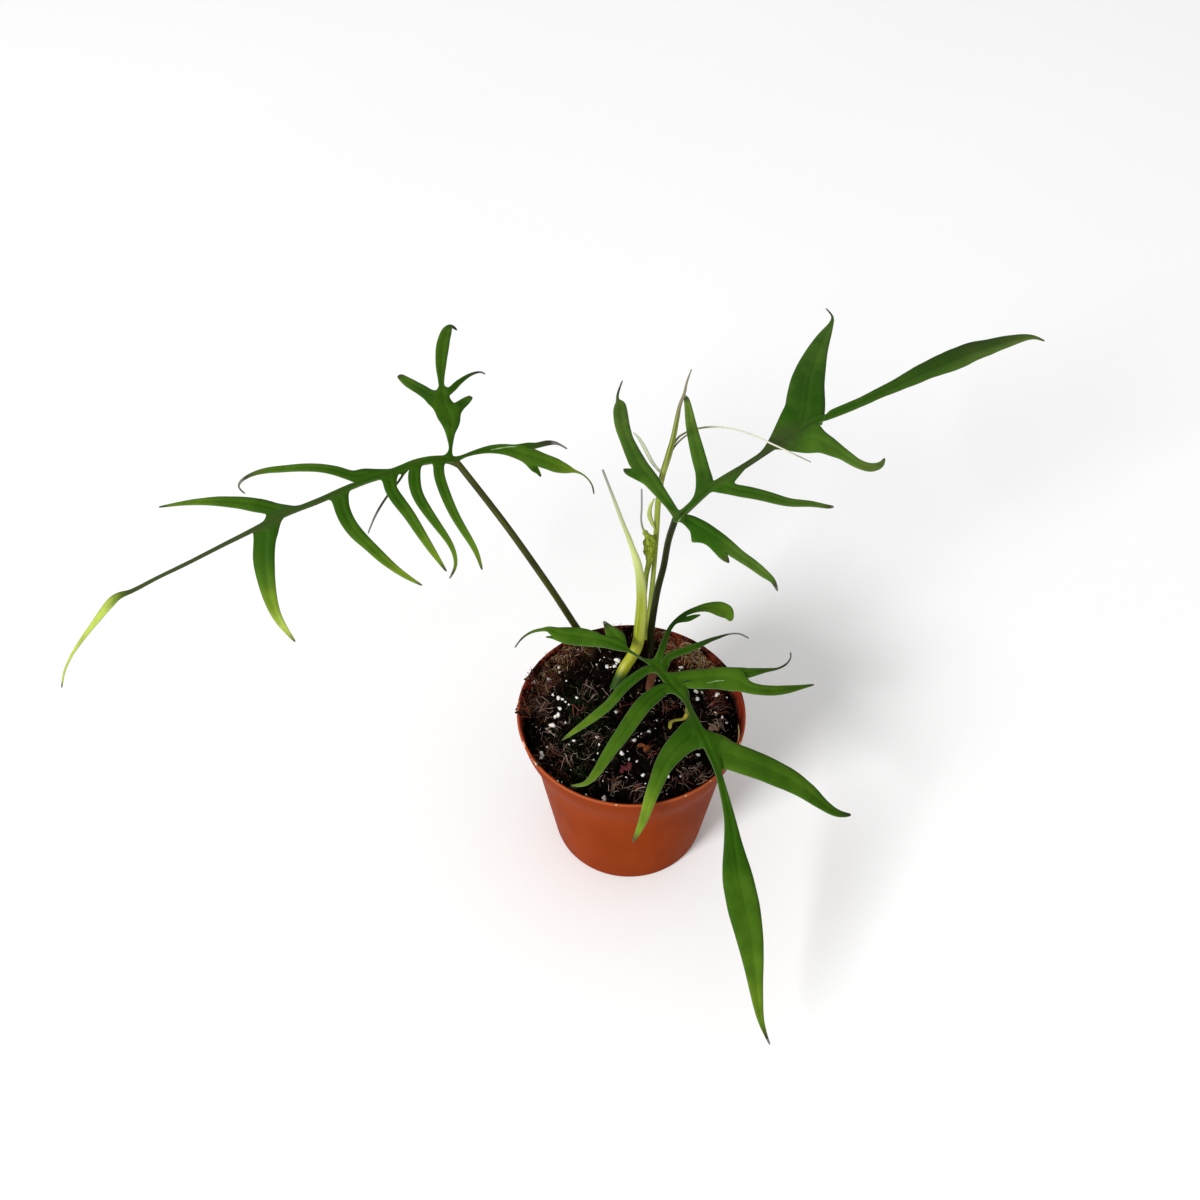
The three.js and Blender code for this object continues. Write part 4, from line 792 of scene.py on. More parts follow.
def stained_material():
    """Inner wall: redder plastic, smeared with peat, most of all at its back."""
    s = Shader("pot_inside", 0.7, 0.05)
    height = s.axis(2)
    smear = s.noise(70, 5, 0.7)
    fine = s.noise(420, 3, 0.6)
    reach = s.plus(s.range(height, 0.088, 0.0985, 0.62, 0.12), s.range(smear, 0.3, 0.7, -0.35, 0.35))
    reach = s.plus(reach, s.range(s.axis(1), 0, 0.04, 0, 0.18))
    peat = s.range(reach, 0.2, 0.45)
    colour = s.coats(rgb(118, 38, 22), [
        (s.noise(30, 3), 0.3, 0.7, rgb(146, 54, 34)),
        (peat, s.mix(s.range(fine, 0.35, 0.65), rgb(24, 13, 9), rgb(78, 34, 22)))])
    return s.finish(colour, fine, 0.4, 0.0005, s.range(peat, 0, 1, 0.6, 0.9))


def peat_material():
    """Black moist peat with grit, and coir and moss where their layers say."""
    s = Shader("peat", 0.95, 0.01)
    clump = s.noise(150, 5, 0.7)
    grit = s.noise(900, 3, 0.65)
    cell = s.node("TexVoronoi", 0, {"Vector": s.node("TexCoord", 3), "Scale": 420})
    red = s.times(s.value("coir"), s.range(clump, 0.3, 0.6))
    side = s.range(s.axis(0), -0.02, 0.012)
    low = s.mix(side, rgb(38, 22, 14), rgb(66, 26, 18))
    high = s.mix(side, rgb(98, 68, 46), rgb(132, 64, 44))
    green = s.times(s.value("moss"), s.range(s.noise(210, 4, 0.7), 0.42, 0.62))
    height = s.plus(clump, s.times(cell, -0.6))
    colour = s.coats(rgb(3, 3, 2), [
        (clump, 0.35, 0.7, rgb(15, 10, 7)), (grit, 0.6, 0.8, rgb(40, 27, 21), 0.6),
        (red, s.mix(s.range(grit, 0.4, 0.6), low, high)),
        (green, s.mix(s.range(grit, 0.4, 0.7), rgb(7, 18, 6), rgb(20, 40, 14)))])
    return s.finish(colour, height, 0.9, 0.0012)


def crumb_material():
    s = Shader("crumbs", 0.95, 0.01)
    hue = s.value("hue")
    grit = s.noise(700, 4, 0.7)
    colour = s.coats(rgb(5, 4, 3), [
        (hue, 0.0, 0.6, rgb(22, 14, 10)), (hue, 0.55, 0.8, rgb(48, 32, 26)),
        (hue, 0.86, 0.96, rgb(84, 66, 56)), (grit, 0.4, 0.75, rgb(16, 11, 8), 0.6)])
    return s.finish(colour, grit, 0.8, 0.0006)


def perlite_material():
    s = Shader("perlite", 0.85, 0.2)
    pits = s.noise(1500, 4, 0.7)
    stain = s.noise(380, 3, 0.6)
    colour = s.coats(rgb(196, 190, 176), [
        (pits, 0.3, 0.6, rgb(244, 242, 236)), (stain, 0.56, 0.8, rgb(130, 104, 80), 0.6)])
    return s.finish(colour, pits, 0.7, 0.0004)


def fibre_material(name, root, rust, straw):
    """Strands from dark roots through rust to straw, by their hue."""
    s = Shader(name, 0.75, 0.08)
    hue = s.value("hue")
    grain = s.noise(900, 3, 0.6)
    colour = s.coats(rgb(20, 13, 10), [
        (hue, 0.0, 0.25, root), (hue, 0.25, 0.45, rust), (hue, 0.45, 0.65, rgb(104, 80, 74)),
        (hue, 0.65, 0.85, straw), (hue, 0.88, 1.0, rgb(214, 202, 186)),
        (grain, 0.45, 0.75, rgb(50, 34, 26), 0.4)])
    return s.finish(colour, grain, 0.4, 0.0002)


def moss_material():
    s = Shader("moss", 0.85, 0.15)
    grain = s.noise(1400, 3, 0.6)
    colour = s.mix(s.range(grain, 0.35, 0.7), rgb(14, 28, 8), rgb(38, 62, 20))
    return s.finish(colour, grain, 0.5, 0.0003)


def scrap_material(name, light, dark):
    s = Shader(name, 0.6, 0.25)
    grain = s.noise(380, 4, 0.6)
    colour = s.mix(s.range(grain, 0.35, 0.7), light, dark)
    return s.finish(colour, grain, 0.5, 0.0004)


# Pot

def pot_radius(z):
    """Outside of the CAD pot at a height: body, step and collar."""
    collar_low, body_top, body_end = RIM_RADIUS - 4, RIM_RADIUS - 7.6, COLLAR_BOTTOM - 5
    if z >= COLLAR_BOTTOM:
        f = (z - COLLAR_BOTTOM) / (POT_HEIGHT - COLLAR_BOTTOM)
        return collar_low + (RIM_RADIUS - collar_low) * f
    if z >= body_end:
        return body_top + (collar_low - body_top) * (z - body_end) / (COLLAR_BOTTOM - body_end)
    return BASE_RADIUS + (body_top - BASE_RADIUS) * z / body_end


def pot_piece(outside, inside):
    """Turned wall with a rounded lip and soft step, and a floor with its drain holes."""
    wall = Curve([(pot_radius(z), 0, z, 1) for z in (3, 16, 32, 50, 64)] + [
        (52.1, 0, 70, 1), (53.1, 0, 74, 1), (54.5, 0, 78, 1), (56.0, 0, 82, 1),
        (57.4, 0, 86, 1), (58.6, 0, 91, 1), (59.6, 0, 96, 1)])
    profile = [(36.5, 0.9), (37.4, 0.35), (38.4, 0.02), (40.1, 0), (40.9, 0.15), (41.4, 0.6), (41.6, 1.4)]
    for k in range(4 * wall.last + 1):
        centre = wall.at(k / 4)[0]
        profile.append((centre.x, centre.z))
    profile += [(59.95, 97.0), (59.95, 97.5), (59.65, 97.86), (59.2, 98), (58.75, 97.9), (58.45, 97.5)]
    for z in (96, 92, 88, 84, 81, 79.5, 78, 76.5, 75, 73.5, 71, 60, 45, 30, 15, 5):
        profile.append((pot_radius(z) - WALL, z))
    profile += [(BASE_RADIUS - WALL - 0.6, 3), (BASE_RADIUS - WALL - 2, FLOOR + 0.1), (36, FLOOR)]
    inner_from = next(i for i, (_, z) in enumerate(profile) if z == 98)
    points, faces, slots = [], [], []
    for i in range(POT_SIDES):
        turn = 2 * math.pi * i / POT_SIDES
        wobble = 1 + 0.0016 * math.sin(2 * turn + 0.7)
        points += [(*around(r * wobble, turn), z) for r, z in profile]
    n = len(profile)
    for i in range(POT_SIDES):
        after = (i + 1) % POT_SIDES
        for j in range(n - 1):
            faces.append([i * n + j, after * n + j, after * n + j + 1, i * n + j + 1])
            slots.append(int(j >= inner_from))
    faces.append([i * n for i in reversed(range(POT_SIDES))])
    faces.append([i * n + n - 1 for i in range(POT_SIDES)])
    slots += [0, 1]
    pot = make("pot_shell", points, faces, [outside, inside], "pot", None, slots)
    pins = Pile()
    caps = [list(reversed(range(DRAIN_SIDES))), list(range(DRAIN_SIDES, 2 * DRAIN_SIDES))]
    for i in range(DRAIN_COUNT):
        x, y = around(DRAIN_CIRCLE, 2 * math.pi * (i + 0.5) / DRAIN_COUNT)
        circle = [around(DRAIN_RADIUS, 2 * math.pi * j / DRAIN_SIDES) for j in range(DRAIN_SIDES)]
        skin = [(x + a, y + b, z) for z in (-3, FLOOR + 3) for a, b in circle]
        pins.add((skin, ring(0, DRAIN_SIDES, DRAIN_SIDES) + caps))
    mesh = bpy.data.meshes.new("pins")
    mesh.from_pydata([Vector(p) * MM for p in pins.points], [], pins.faces)
    tool = link("pins", mesh)
    cut = pot.modifiers.new("holes", "BOOLEAN")
    cut.operation = "DIFFERENCE"
    cut.object = tool
    cut.solver = "EXACT"
    bpy.context.view_layer.update()
    done = bpy.data.meshes.new_from_object(pot.evaluated_get(bpy.context.evaluated_depsgraph_get()))
    pot.modifiers.clear()
    pot.data = done
    done.name = "pot_shell"
    done.set_sharp_from_angle(angle=math.radians(40))
    bpy.data.objects.remove(tool)
    return pot


# Soil

def soil_height(x, y):
    """Top of the soil: the CAD's slopes and waves, with clods and grains added."""
    a = math.sin(0.41 * x + 0.9) * math.sin(0.37 * y + 2.1)
    b = math.sin(0.83 * x - 0.52 * y + 0.4)
    c = math.sin(1.27 * y + 0.71 * x + 1.7)
    back_left = math.exp(-((x + 30) ** 2 + (y - 38) ** 2) / 500)
    back = math.exp(-((x - 12) ** 2 + (y - 48) ** 2) / 300)
    front_dip = math.exp(-((x + 18) ** 2 + (y + 40) ** 2) / 700)
    heap = max(0, y - 18) / 38
    low = SOIL_LEVEL + 1.5 * back_left + 0.5 * back - 2.5 * front_dip + 8.5 * heap
    waves = 1.1 * a + 0.6 * b + 0.35 * c
    clods = 1.5 * noise.noise((0.19 * x, 0.19 * y, 3.1)) + 1.1 * noise.noise((0.42 * x, 0.42 * y, 8.4))
    grains = 0.8 * abs(noise.noise((0.95 * x, 0.95 * y, 5.2))) + 0.35 * noise.noise((2.1 * x, 2.1 * y, 1.9))
    return min(low + 0.8 * waves, POT_HEIGHT - 0.5) + clods + grains


def patch(point, spots, reach):
    """How near a point is to the nearest spot, from 0 to 1."""
    x, y = point[:2]
    return max(math.exp(-((x - spot[0]) ** 2 + (y - spot[1]) ** 2) / reach ** 2) for spot in spots)


# Strands lying side by side: x, y, heading in degrees, count, spread in mm and hue
BUNDLES = [
    (-53.7, 16, -113, 14, 3, 0.6), (-49, 18, -82, 12, 3, 0.6), (-46.5, 21, 29, 12, 3, 0.5),
    (-49.4, 7.2, 25, 22, 4.5, 0.64), (-45.4, -5.4, -32, 9, 3, 0.8), (-41.9, -17.8, -58, 26, 6, 0.64),
    (-32.5, -22.2, -82, 10, 3, 0.66), (-21.5, 21, -83, 13, 7, 0.7), (-16.4, -9.4, -135, 12, 4, 0.68),
    (-9.2, -35.4, -108, 16, 5, 0.62), (18.7, 6.5, 45, 12, 4, 0.5), (43.3, 7.8, 32, 16, 4, 0.55),
    (44.9, -2.1, -42, 14, 4, 0.72), (29.9, -30.5, -32, 12, 4, 0.7), (24.6, -34.8, -57, 14, 4, 0.6),
    (34.7, -37.9, 29, 10, 3, 0.62), (4, -41, -149, 10, 4, 0.66), (0.7, -53.2, 64, 7, 3, 0.6),
    (-7.2, -37.9, -117, 6, 3, 0.75), (-38, -30, -50, 14, 5, 0.4), (-28, 6, 60, 8, 5, 0.35),
    (10, -20, 15, 10, 6, 0.35), (22, 30, 10, 10, 5, 0.4), (2, 8, -60, 12, 6, 0.4),
]
# Litter on the rim: angle, spread in degrees, crumbs and hairs
RIM_WADS = [
    (181, 1.8, 16, 9), (158, 2.2, 14, 9), (214, 2.2, 9, 6), (160, 14, 40, 8), (130, 10, 34, 4),
    (50, 14, 60, 5), (90, 18, 50, 4),
]
MOSS = [(-27, 13), (-16, -13), (-27, -32), (-37, -17), (-22, 0)]
# Coir wads: x, y, strands, spread and share of light strands
COIR = [
    (33, 41, 150, 3.8, 0.4), (24, 46, 110, 3.6, 0.3), (41, 35, 150, 3.6, 0.45), (29, 49, 60, 2.6, 0.1),
    (16.7, 54, 50, 2.4, 0.1), (47, 27, 70, 3.2, 0.3), (-37, 39, 90, 3.6, 0.3), (-32, 43, 60, 3.2, 0.2),
    (-46, 31, 90, 3.6, 0.25), (-52, 22, 80, 3, 0.2), (-56, 10, 50, 2.4, 0.15), (-25, 46, 50, 3.2, 0.1),
    (-41, 39, 60, 3, 0.3), (38, 42, 80, 2.8, 0.3), (50, 20, 30, 2.6, 0.2),
]


def soil_piece(material):
    """Bed with an uneven top, down to the floor of the pot."""
    sides, rings = SOIL_SIDES, SOIL_RINGS
    edge = pot_radius(SOIL_LEVEL - 4) - WALL - 0.25
    points, faces = [], []
    for k in range(rings):
        r = edge * (1 - k / rings)
        for i in range(sides):
            x, y = around(r, 2 * math.pi * i / sides)
            z = soil_height(x, y)
            if k < 2:
                z = min(z, POT_HEIGHT - 0.8) - 0.3 * (2 - k)
            points.append((x, y, z))
    for k in range(rings - 1):
        faces += ring(k * sides, (k + 1) * sides, sides)
    points.append((0, 0, soil_height(0, 0)))
    tip = len(points) - 1
    last = (rings - 1) * sides
    faces += [[last + i, last + (i + 1) % sides, tip] for i in range(sides)]
    above = 0
    for z in (80, 78, 74, 40, 3):
        r = pot_radius(z) - WALL - (0.25 if z > 10 else 1.8)
        start = len(points)
        points += [(*around(r, 2 * math.pi * i / sides), z + 0.2) for i in range(sides)]
        faces += ring(start, above, sides)
        above = start
    faces.append([above + i for i in reversed(range(sides))])
    coir = [patch(p, COIR, 7) for p in points]
    moss = [patch(p, MOSS, 9) for p in points]
    return make("soil_bed", points, faces, [material], "soil", {"coir": coir, "moss": moss})


# How far from the middle the litter lies, in mm
LITTER_REACH = 54
CRUMB_REACH = 56.6
STRAND_LIMIT = 56.5
STRAND_FEET = 56
COIR_FEET = 57.4
# How many of each, and the seeds of their places
CRUMBS = 2600
LOOSE_PERLITE = 70
LONG_HAIRS = 230
SHORT_HAIRS = 420
TUFTS = 90
SEEDS = {"crumbs": 11, "perlite": 5, "fibres": 23, "coir": 29, "rim": 31, "moss": 3}
ANY_WAY = (0, 6.28)
UPWARDS = (0.1, 0.05, 1)


def soil_spot(rng, reach=LITTER_REACH):
    """A place inside a circle of this radius."""
    while True:
        x, y = rng.uniform(-reach, reach), rng.uniform(-reach, reach)
        if x * x + y * y < reach * reach:
            return x, y


# Where stems enter the soil: x, y and the radius kept clear
STEM_FEET = [(-21, 45, 3.5), (11, 40, 3.5), (11, 21, 3.5), (-6, 23, 5), (10, 51, 3), (3, 47, 3)]


def clear_of_stems(x, y, more):
    return all((x - a) ** 2 + (y - b) ** 2 > (r + more) ** 2 for a, b, r in STEM_FEET)


def crumbs_piece(material):
    rng = random.Random(SEEDS["crumbs"])
    pile = Pile()
    for i in range(CRUMBS):
        x, y = soil_spot(rng, CRUMB_REACH)
        size = rng.choice((0.25, 0.3, 0.4, 0.5, 0.6, 0.8, 1.1))
        if not clear_of_stems(x, y, size):
            continue
        place = (x, y, soil_height(x, y) + 0.25 * size)
        pile.add(lump(place, size, rng.uniform(0.5, 0.8), 0.9, i + 0.5), hue=rng.random() ** 1.5)
    return pile.make("soil_crumbs", [material], "soil")


PERLITE = [
    (-12.6, 33.6, 1.2), (-10.4, 33.2, 1), (-8.4, 33, 1), (-6.9, 36.9, 1.4), (-7.4, 34.9, 0.8),
    (-53.6, 22.4, 1), (-51.6, 23.3, 1.1), (-44, 26.2, 1), (-41.6, 16, 0.8), (-38.6, 15.3, 1.3),
    (-34.9, 11.2, 0.7), (-36.4, 13.6, 0.8), (-37.7, 6.5, 1), (-38.4, 2.8, 1.1), (-39.8, 2, 1.1),
    (-41.7, -4.1, 1.4), (-28.7, 14.6, 0.8), (-47, -21, 1.2), (-46.4, -23.7, 1.3), (-18, -10.7, 0.8),
    (-7.9, 4.5, 0.9), (-38.7, 32, 0.8), (-38.2, 30, 0.6), (1.4, -13.3, 1), (9.4, -6.8, 1),
    (-5, -22.2, 1.2), (-1.4, -24.8, 0.8), (5.7, -34.2, 1), (34.4, -22.9, 1), (18.4, -36.1, 1),
    (-14.4, -48.9, 1.3), (37.8, 44.1, 0.9), (27.6, 33.3, 1), (35.3, 18.6, 1.1), (38.5, 18.9, 0.8),
    (46.6, 16.7, 1.3), (35.6, 14.4, 1.1), (44.8, 5.2, 0.7), (48.3, 1.2, 0.7), (2.7, -25.4, 0.7),
    (-30, -13.4, 0.7), (-38.3, -38.1, 0.7), (22.4, 41.1, 0.7),
]


def perlite_piece(material):
    rng = random.Random(SEEDS["perlite"])
    spots = list(PERLITE)
    for _ in range(LOOSE_PERLITE):
        x, y = soil_spot(rng)
        spots.append((x, y, rng.choice((0.35, 0.45, 0.6))))
    pile = Pile()
    for i, (x, y, size) in enumerate(spots):
        if not clear_of_stems(x, y, size):
            continue
        pile.add(lump((x, y, soil_height(x, y) + 0.5 * size), size, 0.85, 0.7, i + 40, 2))
    return pile.make("perlite", [material], "soil")


def fibre(pile, rng, x, y, heading, length, curl, lift, size, hue, rise, count=7):
    """One curly root or coir hair, lying on the soil or rising off it."""
    rows = []
    step = length / (count - 1)
    for i in range(count):
        f = i / (count - 1)
        base = soil_height(x, y) + 0.1
        rows.append((x, y, base + lift * math.sin(math.pi * f) + rise * f, size * (1 - 0.5 * f)))
        heading += rng.gauss(0, curl)
        x += step * math.cos(heading)
        y += step * math.sin(heading)
        r = math.hypot(x, y)
        if r > STRAND_LIMIT:
            x, y = x * STRAND_LIMIT / r, y * STRAND_LIMIT / r
            heading += 1.2
    pile.add(tube(rows, UPWARDS, 3, 2), hue=hue)


def fibres_piece(material):
    rng = random.Random(SEEDS["fibres"])
    pile = Pile()
    for _ in range(LONG_HAIRS):
        x, y = soil_spot(rng)
        hue = rng.choice((0.05, 0.1, 0.2, 0.3, 0.6, 0.7, 0.95)) + rng.uniform(-0.05, 0.05)
        fibre(pile, rng, x, y, rng.uniform(*ANY_WAY), rng.uniform(2, 7), rng.choice((0.1, 0.3, 0.5)),
              rng.uniform(0.2, 1.6), rng.uniform(0.16, 0.34), hue, rng.uniform(-0.3, 1.4))
    for a, b, heading, count, spread, shade in BUNDLES:
        for _ in range(count):
            x, y = rng.gauss(a, spread / 2), rng.gauss(b, spread / 2)
            if math.hypot(x, y) > STRAND_FEET or not clear_of_stems(x, y, 1):
                continue
            fibre(pile, rng, x, y, math.radians(heading + rng.gauss(0, 27)), rng.uniform(4, 9), 0.13,
                  rng.uniform(0.3, 1.6), rng.uniform(0.3, 0.62), shade + rng.gauss(0, 0.12),
                  rng.uniform(-0.2, 1.2))
    for _ in range(SHORT_HAIRS):
        x, y = soil_spot(rng)
        fibre(pile, rng, x, y, rng.uniform(*ANY_WAY), rng.uniform(1.2, 3.6), 0.3, rng.uniform(0.1, 0.6),
              rng.uniform(0.12, 0.22), rng.choice((0.3, 0.6, 0.75, 0.9, 0.96)), rng.uniform(0, 0.9), 4)
    return pile.make("soil_fibres", [material], "soil")


def coir_piece(material):
    """Wads of coir strands, heaped up to the rim at the back."""
    rng = random.Random(SEEDS["coir"])
    pile = Pile()
    for a, b, count, spread, light in COIR:
        for _ in range(count):
            x, y = rng.gauss(a, spread), rng.gauss(b, spread)
            if math.hypot(x, y) > COIR_FEET or not clear_of_stems(x, y, 1):
                continue
            tones = (0.15, 0.32, 0.4, 0.46, 0.5) if a > 0 else (0.1, 0.2, 0.3, 0.54, 0.6)
            hue = rng.choice(tones) if rng.random() > light else rng.uniform(0.66, 1)
            fibre(pile, rng, x, y, math.atan2(y, x) + 1.57 + rng.gauss(0, 0.8), rng.uniform(2.5, 6.5), 0.35,
                  rng.uniform(0.2, 1.8), rng.uniform(0.16, 0.38), hue, rng.uniform(0, 1.6), 6)
    return pile.make("coir_strands", [material], "soil")


def rim_litter_piece(materials):
    """Peat and root hairs that spilled over the left of the rim, and wads at its back."""
    rng = random.Random(SEEDS["rim"])
    pile = Pile()
    for turn, spread, count, hairs in RIM_WADS:
        clump = spread < 2.5
        for i in range(count):
            a = math.radians(rng.gauss(turn, spread))
            out = rng.uniform(57.2, 60.5) if clump else rng.uniform(56.4, 59)
            size = rng.choice((0.4, 0.6, 0.8))
            z = POT_HEIGHT + 0.15 if out > 58.2 else POT_HEIGHT - rng.uniform(0.2, 2.5)
            if out > 59.6:
                z -= 0.7
            crumb = lump((*around(out, a), z), size, 0.6, 0.9, i + turn)
            pile.add(crumb, 0, hue=rng.uniform(0.5, 1) if clump else rng.random() ** 1.5)
        for _ in range(hairs):
            a = math.radians(rng.gauss(turn, spread))
            swing = rng.gauss(0, 0.09)
            over = rng.uniform(-1.5, 1.5 if clump else 0.5)
            rows = []
            for j in range(6):
                f = j / 5
                out = 53 + (7 + over) * f
                z = 95.5 + (POT_HEIGHT - 94.4) * math.sin(1.9 * f) + rng.uniform(-0.2, 0.2)
                rows.append((*around(out, a + swing * f), z, 0.36 - 0.18 * f))
            pile.add(tube(rows, UPWARDS, 4, 2), 1, hue=rng.choice((0.05, 0.15, 0.3, 0.45)))
    return pile.make("rim_litter", materials, "soil")


def moss_piece(material):
    rng = random.Random(SEEDS["moss"])
    pile = Pile()
    for a, b in MOSS:
        for _ in range(TUFTS):
            x, y = rng.gauss(a, 5), rng.gauss(b, 5)
            z = soil_height(x, y) - 0.2
            dx, dy = rng.uniform(-0.8, 0.8), rng.uniform(-0.8, 0.8)
            tall = rng.uniform(0.7, 1.8)
            rows = [(x, y, z, 0.5), (x + dx * 0.4, y + dy * 0.4, z + tall * 0.6, 0.55),
                    (x + dx, y + dy, z + tall, 0.15)]
            pile.add(tube(rows, (1, 0.2, 0), 3, 1))
    return pile.make("moss_tufts", [material], "soil")


def ribbon(rows, width_dir, thick=0.25, sides=8):
    """Flat strap along rows, wide across width_dir."""
    def section(turn, size, _):
        return around(0.5 * size, turn, thick / size)
    return tube(rows, width_dir, sides, 4, section)


# Straps of dry leaf and straw: material, the way they are wide, and rows
SCRAP_STRAPS = [
    (0, (0.2, 0.3, 1), [(28.9, 0.4, 99, 1.6), (29.1, -2.4, 98, 2.3), (27.5, -4.6, 97, 2.4),
                        (23.9, -4.8, 96, 2.3), (20.8, -5.6, 95.3, 2.2), (20.2, -7.9, 94, 2)]),
    (3, (-1, 0, 0.4), [(55.8, -8, 95.5, 0.9), (55.9, -13, 95, 1.7), (55, -18, 93.6, 1.4),
                       (53, -22, 92.4, 0.8)]),
]
# Chips of bark and leaf: material, x, y, size, height, squash, roughness and seed
SCRAP_CHIPS = [
    (1, 7.5, -17.4, 2.7, 0.6, 0.4, 0.6, 3), (1, 5.2, -16.4, 1.6, 0.6, 0.4, 0.6, 4),
    (4, 44.2, -4.9, 2.2, 0.6, 0.4, 0.6, 5), (4, 42, -6.4, 1.5, 0.6, 0.4, 0.6, 6),
    (2, -3, -29.9, 2.2, 0.5, 0.5, 0.8, 9), (2, -1.2, -29, 1.5, 0.5, 0.5, 0.8, 10),
    (2, -5, -31.6, 1.4, 0.5, 0.5, 0.8, 11),
]


def scraps_piece():
    materials = [
        scrap_material("dry_leaf", rgb(150, 140, 40), rgb(96, 92, 34)),
        scrap_material("bark_chip", rgb(150, 84, 40), rgb(96, 48, 24)),
        scrap_material("plum_scrap", rgb(104, 34, 40), rgb(60, 20, 22)),
        scrap_material("straw", rgb(214, 190, 130), rgb(160, 130, 80)),
        scrap_material("tan_chip", rgb(132, 102, 82), rgb(84, 60, 46)),
    ]
    pile = Pile()
    for kind, wide, rows in SCRAP_STRAPS:
        pile.add(ribbon(rows, wide), kind)
    for kind, x, y, size, high, squash, rough, seed in SCRAP_CHIPS:
        pile.add(lump((x, y, soil_height(x, y) + high), size, squash, rough, seed, 2), kind)
    return pile.make("soil_scraps", materials, "soil")


# Stems and young growth

def stem_piece(name, rows, material, node):
    """Round stem, slightly oval and uneven."""
    def section(turn, size, along):
        uneven = 1 + 0.025 * math.sin(3 * turn + 9 * along) + 0.02 * math.sin(23 * along + turn)
        return around(0.5 * size * uneven, turn, 0.96)
    return drawn(name, tube(rows, (0, -1, 0), 18, 6, section), material, node)


def sheath_piece(material):
    """Keeled sheath: flat faces meeting on a ridge towards the viewer, slit at its back."""
    def section(turn, size, along):
        ridge = math.exp(-((turn - 1.25) / 0.3) ** 2)
        slit = math.exp(-((turn - 4.9) / 0.28) ** 2) * smoothstep(0.08, 0.3, along)
        dry = 1 - 0.28 * smoothstep(0.8, 0.94, along)
        radius = 0.5 * size * dry * (1 + 0.12 * ridge - 0.5 * slit)
        return around(radius, turn, 0.72)
    return drawn("sheath_leaf", tube(SHEATH, (0, -1, 0), 40, 6, section), material, "sheath")


def sheath_material():
    s = Shader("sheath_skin", 0.4, 0.25)
    flow = s.vector("flow")
    height = s.axis(2)
    streak = s.noise(2.0, 4, 0.6, s.place((2.4, 2.4, 0.03), flow))
    stain = s.noise(0.9, 5, 0.65, s.place((1.3, 1.3, 0.28), flow))
    turn = s.axis(0, flow)
    lower = s.range(height, 0.121, 0.104)
    olive = s.times(s.range(stain, 0.5, 0.66), s.range(height, 0.13, 0.104, 0, 0.1))
    # Painted light and shade: the left face is darkened against a paler right face, beyond what the lamp
    # makes.
    colour = s.coats(rgb(176, 184, 80), [
        (turn, -0.85, 0.4, rgb(122, 136, 10)), (streak, 0.35, 0.7, rgb(184, 194, 100), 0.5),
        (height, 0.14, 0.178, rgb(186, 196, 122)), (height, 0.176, 0.215, rgb(170, 176, 134)),
        (height, 0.208, 0.232, rgb(136, 134, 122)), (s.times(lower, 0.6), rgb(172, 170, 24)),
        (olive, rgb(96, 96, 30)), (height, 0.1035, 0.0965, rgb(44, 70, 22))])
    return s.finish(colour, streak, 0.2, 0.0004)


# Youngest leaf: its roll, and then two threads and a film that stand off it
YOUNG_ROLL = [
    (13.8, 59.1, 205.3, 2.9), (14.8, 59.5, 212, 3.1), (17.2, 61, 222, 3.2), (19.5, 66, 230, 2.6),
    (21, 69, 239, 2.3), (22, 70, 246, 1.8), (24, 72, 252, 1.4), (25, 74, 257, 1), (27, 77, 262, 0.6),
]
YOUNG_THREADS = [
    [(18, 62.5, 225, 1.2), (21.2, 67, 227.3, 1.1), (25.2, 76, 223, 1), (30.9, 86, 217, 1),
     (36.9, 87, 217.6, 1), (43.4, 82, 222, 0.95), (51, 75, 226.2, 0.95), (59, 67, 229.3, 0.95),
     (67, 61, 229.4, 0.9), (76.5, 57, 227, 0.8), (86, 56, 222.2, 0.5)],
    [(17.8, 61.5, 222, 1.1), (19.7, 64, 224.5, 1), (23.6, 72, 222.6, 0.9), (28.7, 83, 217.3, 0.7)],
    [(14.6, 59.5, 211, 1.2), (11.5, 59.5, 215, 1.5), (8.5, 60, 220, 1.9), (5.6, 63, 224.6, 2),
     (2.7, 68, 226.8, 1.5), (0.1, 73, 226.2, 0.6)],
]


def young_leaf_piece(materials):
    def rolled(turn, size, _):
        lap = 0.2 * (turn / (2 * math.pi)) ** 2
        return around(0.5 * size * (0.9 + lap), turn, 0.8)
    facing = (0.3, -1, 0.6)
    skins = [(tube(YOUNG_ROLL, (0, -1, 0), 22, 6, rolled), 0)]
    skins += [(tube(rows, facing, 9, 6), 1) for rows in YOUNG_THREADS[:2]]
    skins.append((ribbon(YOUNG_THREADS[2], facing, 0.5, 9), 2))
    pile = Pile()
    for skin, kind in skins:
        pile.add(skin, kind, flow=skin[2])
    return pile.make("rolled_leaf", materials, "shoot_green", "young_leaf")


def roll_material():
    """Rolled young blade: olive, darker along both sides, grey at its tip."""
    s = Shader("roll_skin", 0.5, 0.05)
    flow = s.vector("flow")
    height = s.axis(2)
    turn = s.math("ABSOLUTE", s.axis(0, flow))
    middle = s.times(s.range(turn, 0.6, 0.2), s.range(height, 0.214, 0.224))
    streak = s.noise(2.0, 4, 0.6, s.place((2.4, 2.4, 0.05), flow))
    colour = s.coats(rgb(142, 150, 74), [
        (streak, 0.35, 0.7, rgb(118, 130, 52)), (turn, 0.75, 0.95, rgb(70, 80, 38), 0.7),
        (s.times(middle, 0.75), rgb(66, 74, 34)), (height, 0.234, 0.25, rgb(118, 114, 88))])
    return s.finish(colour, streak, 0.2, 0.0003)


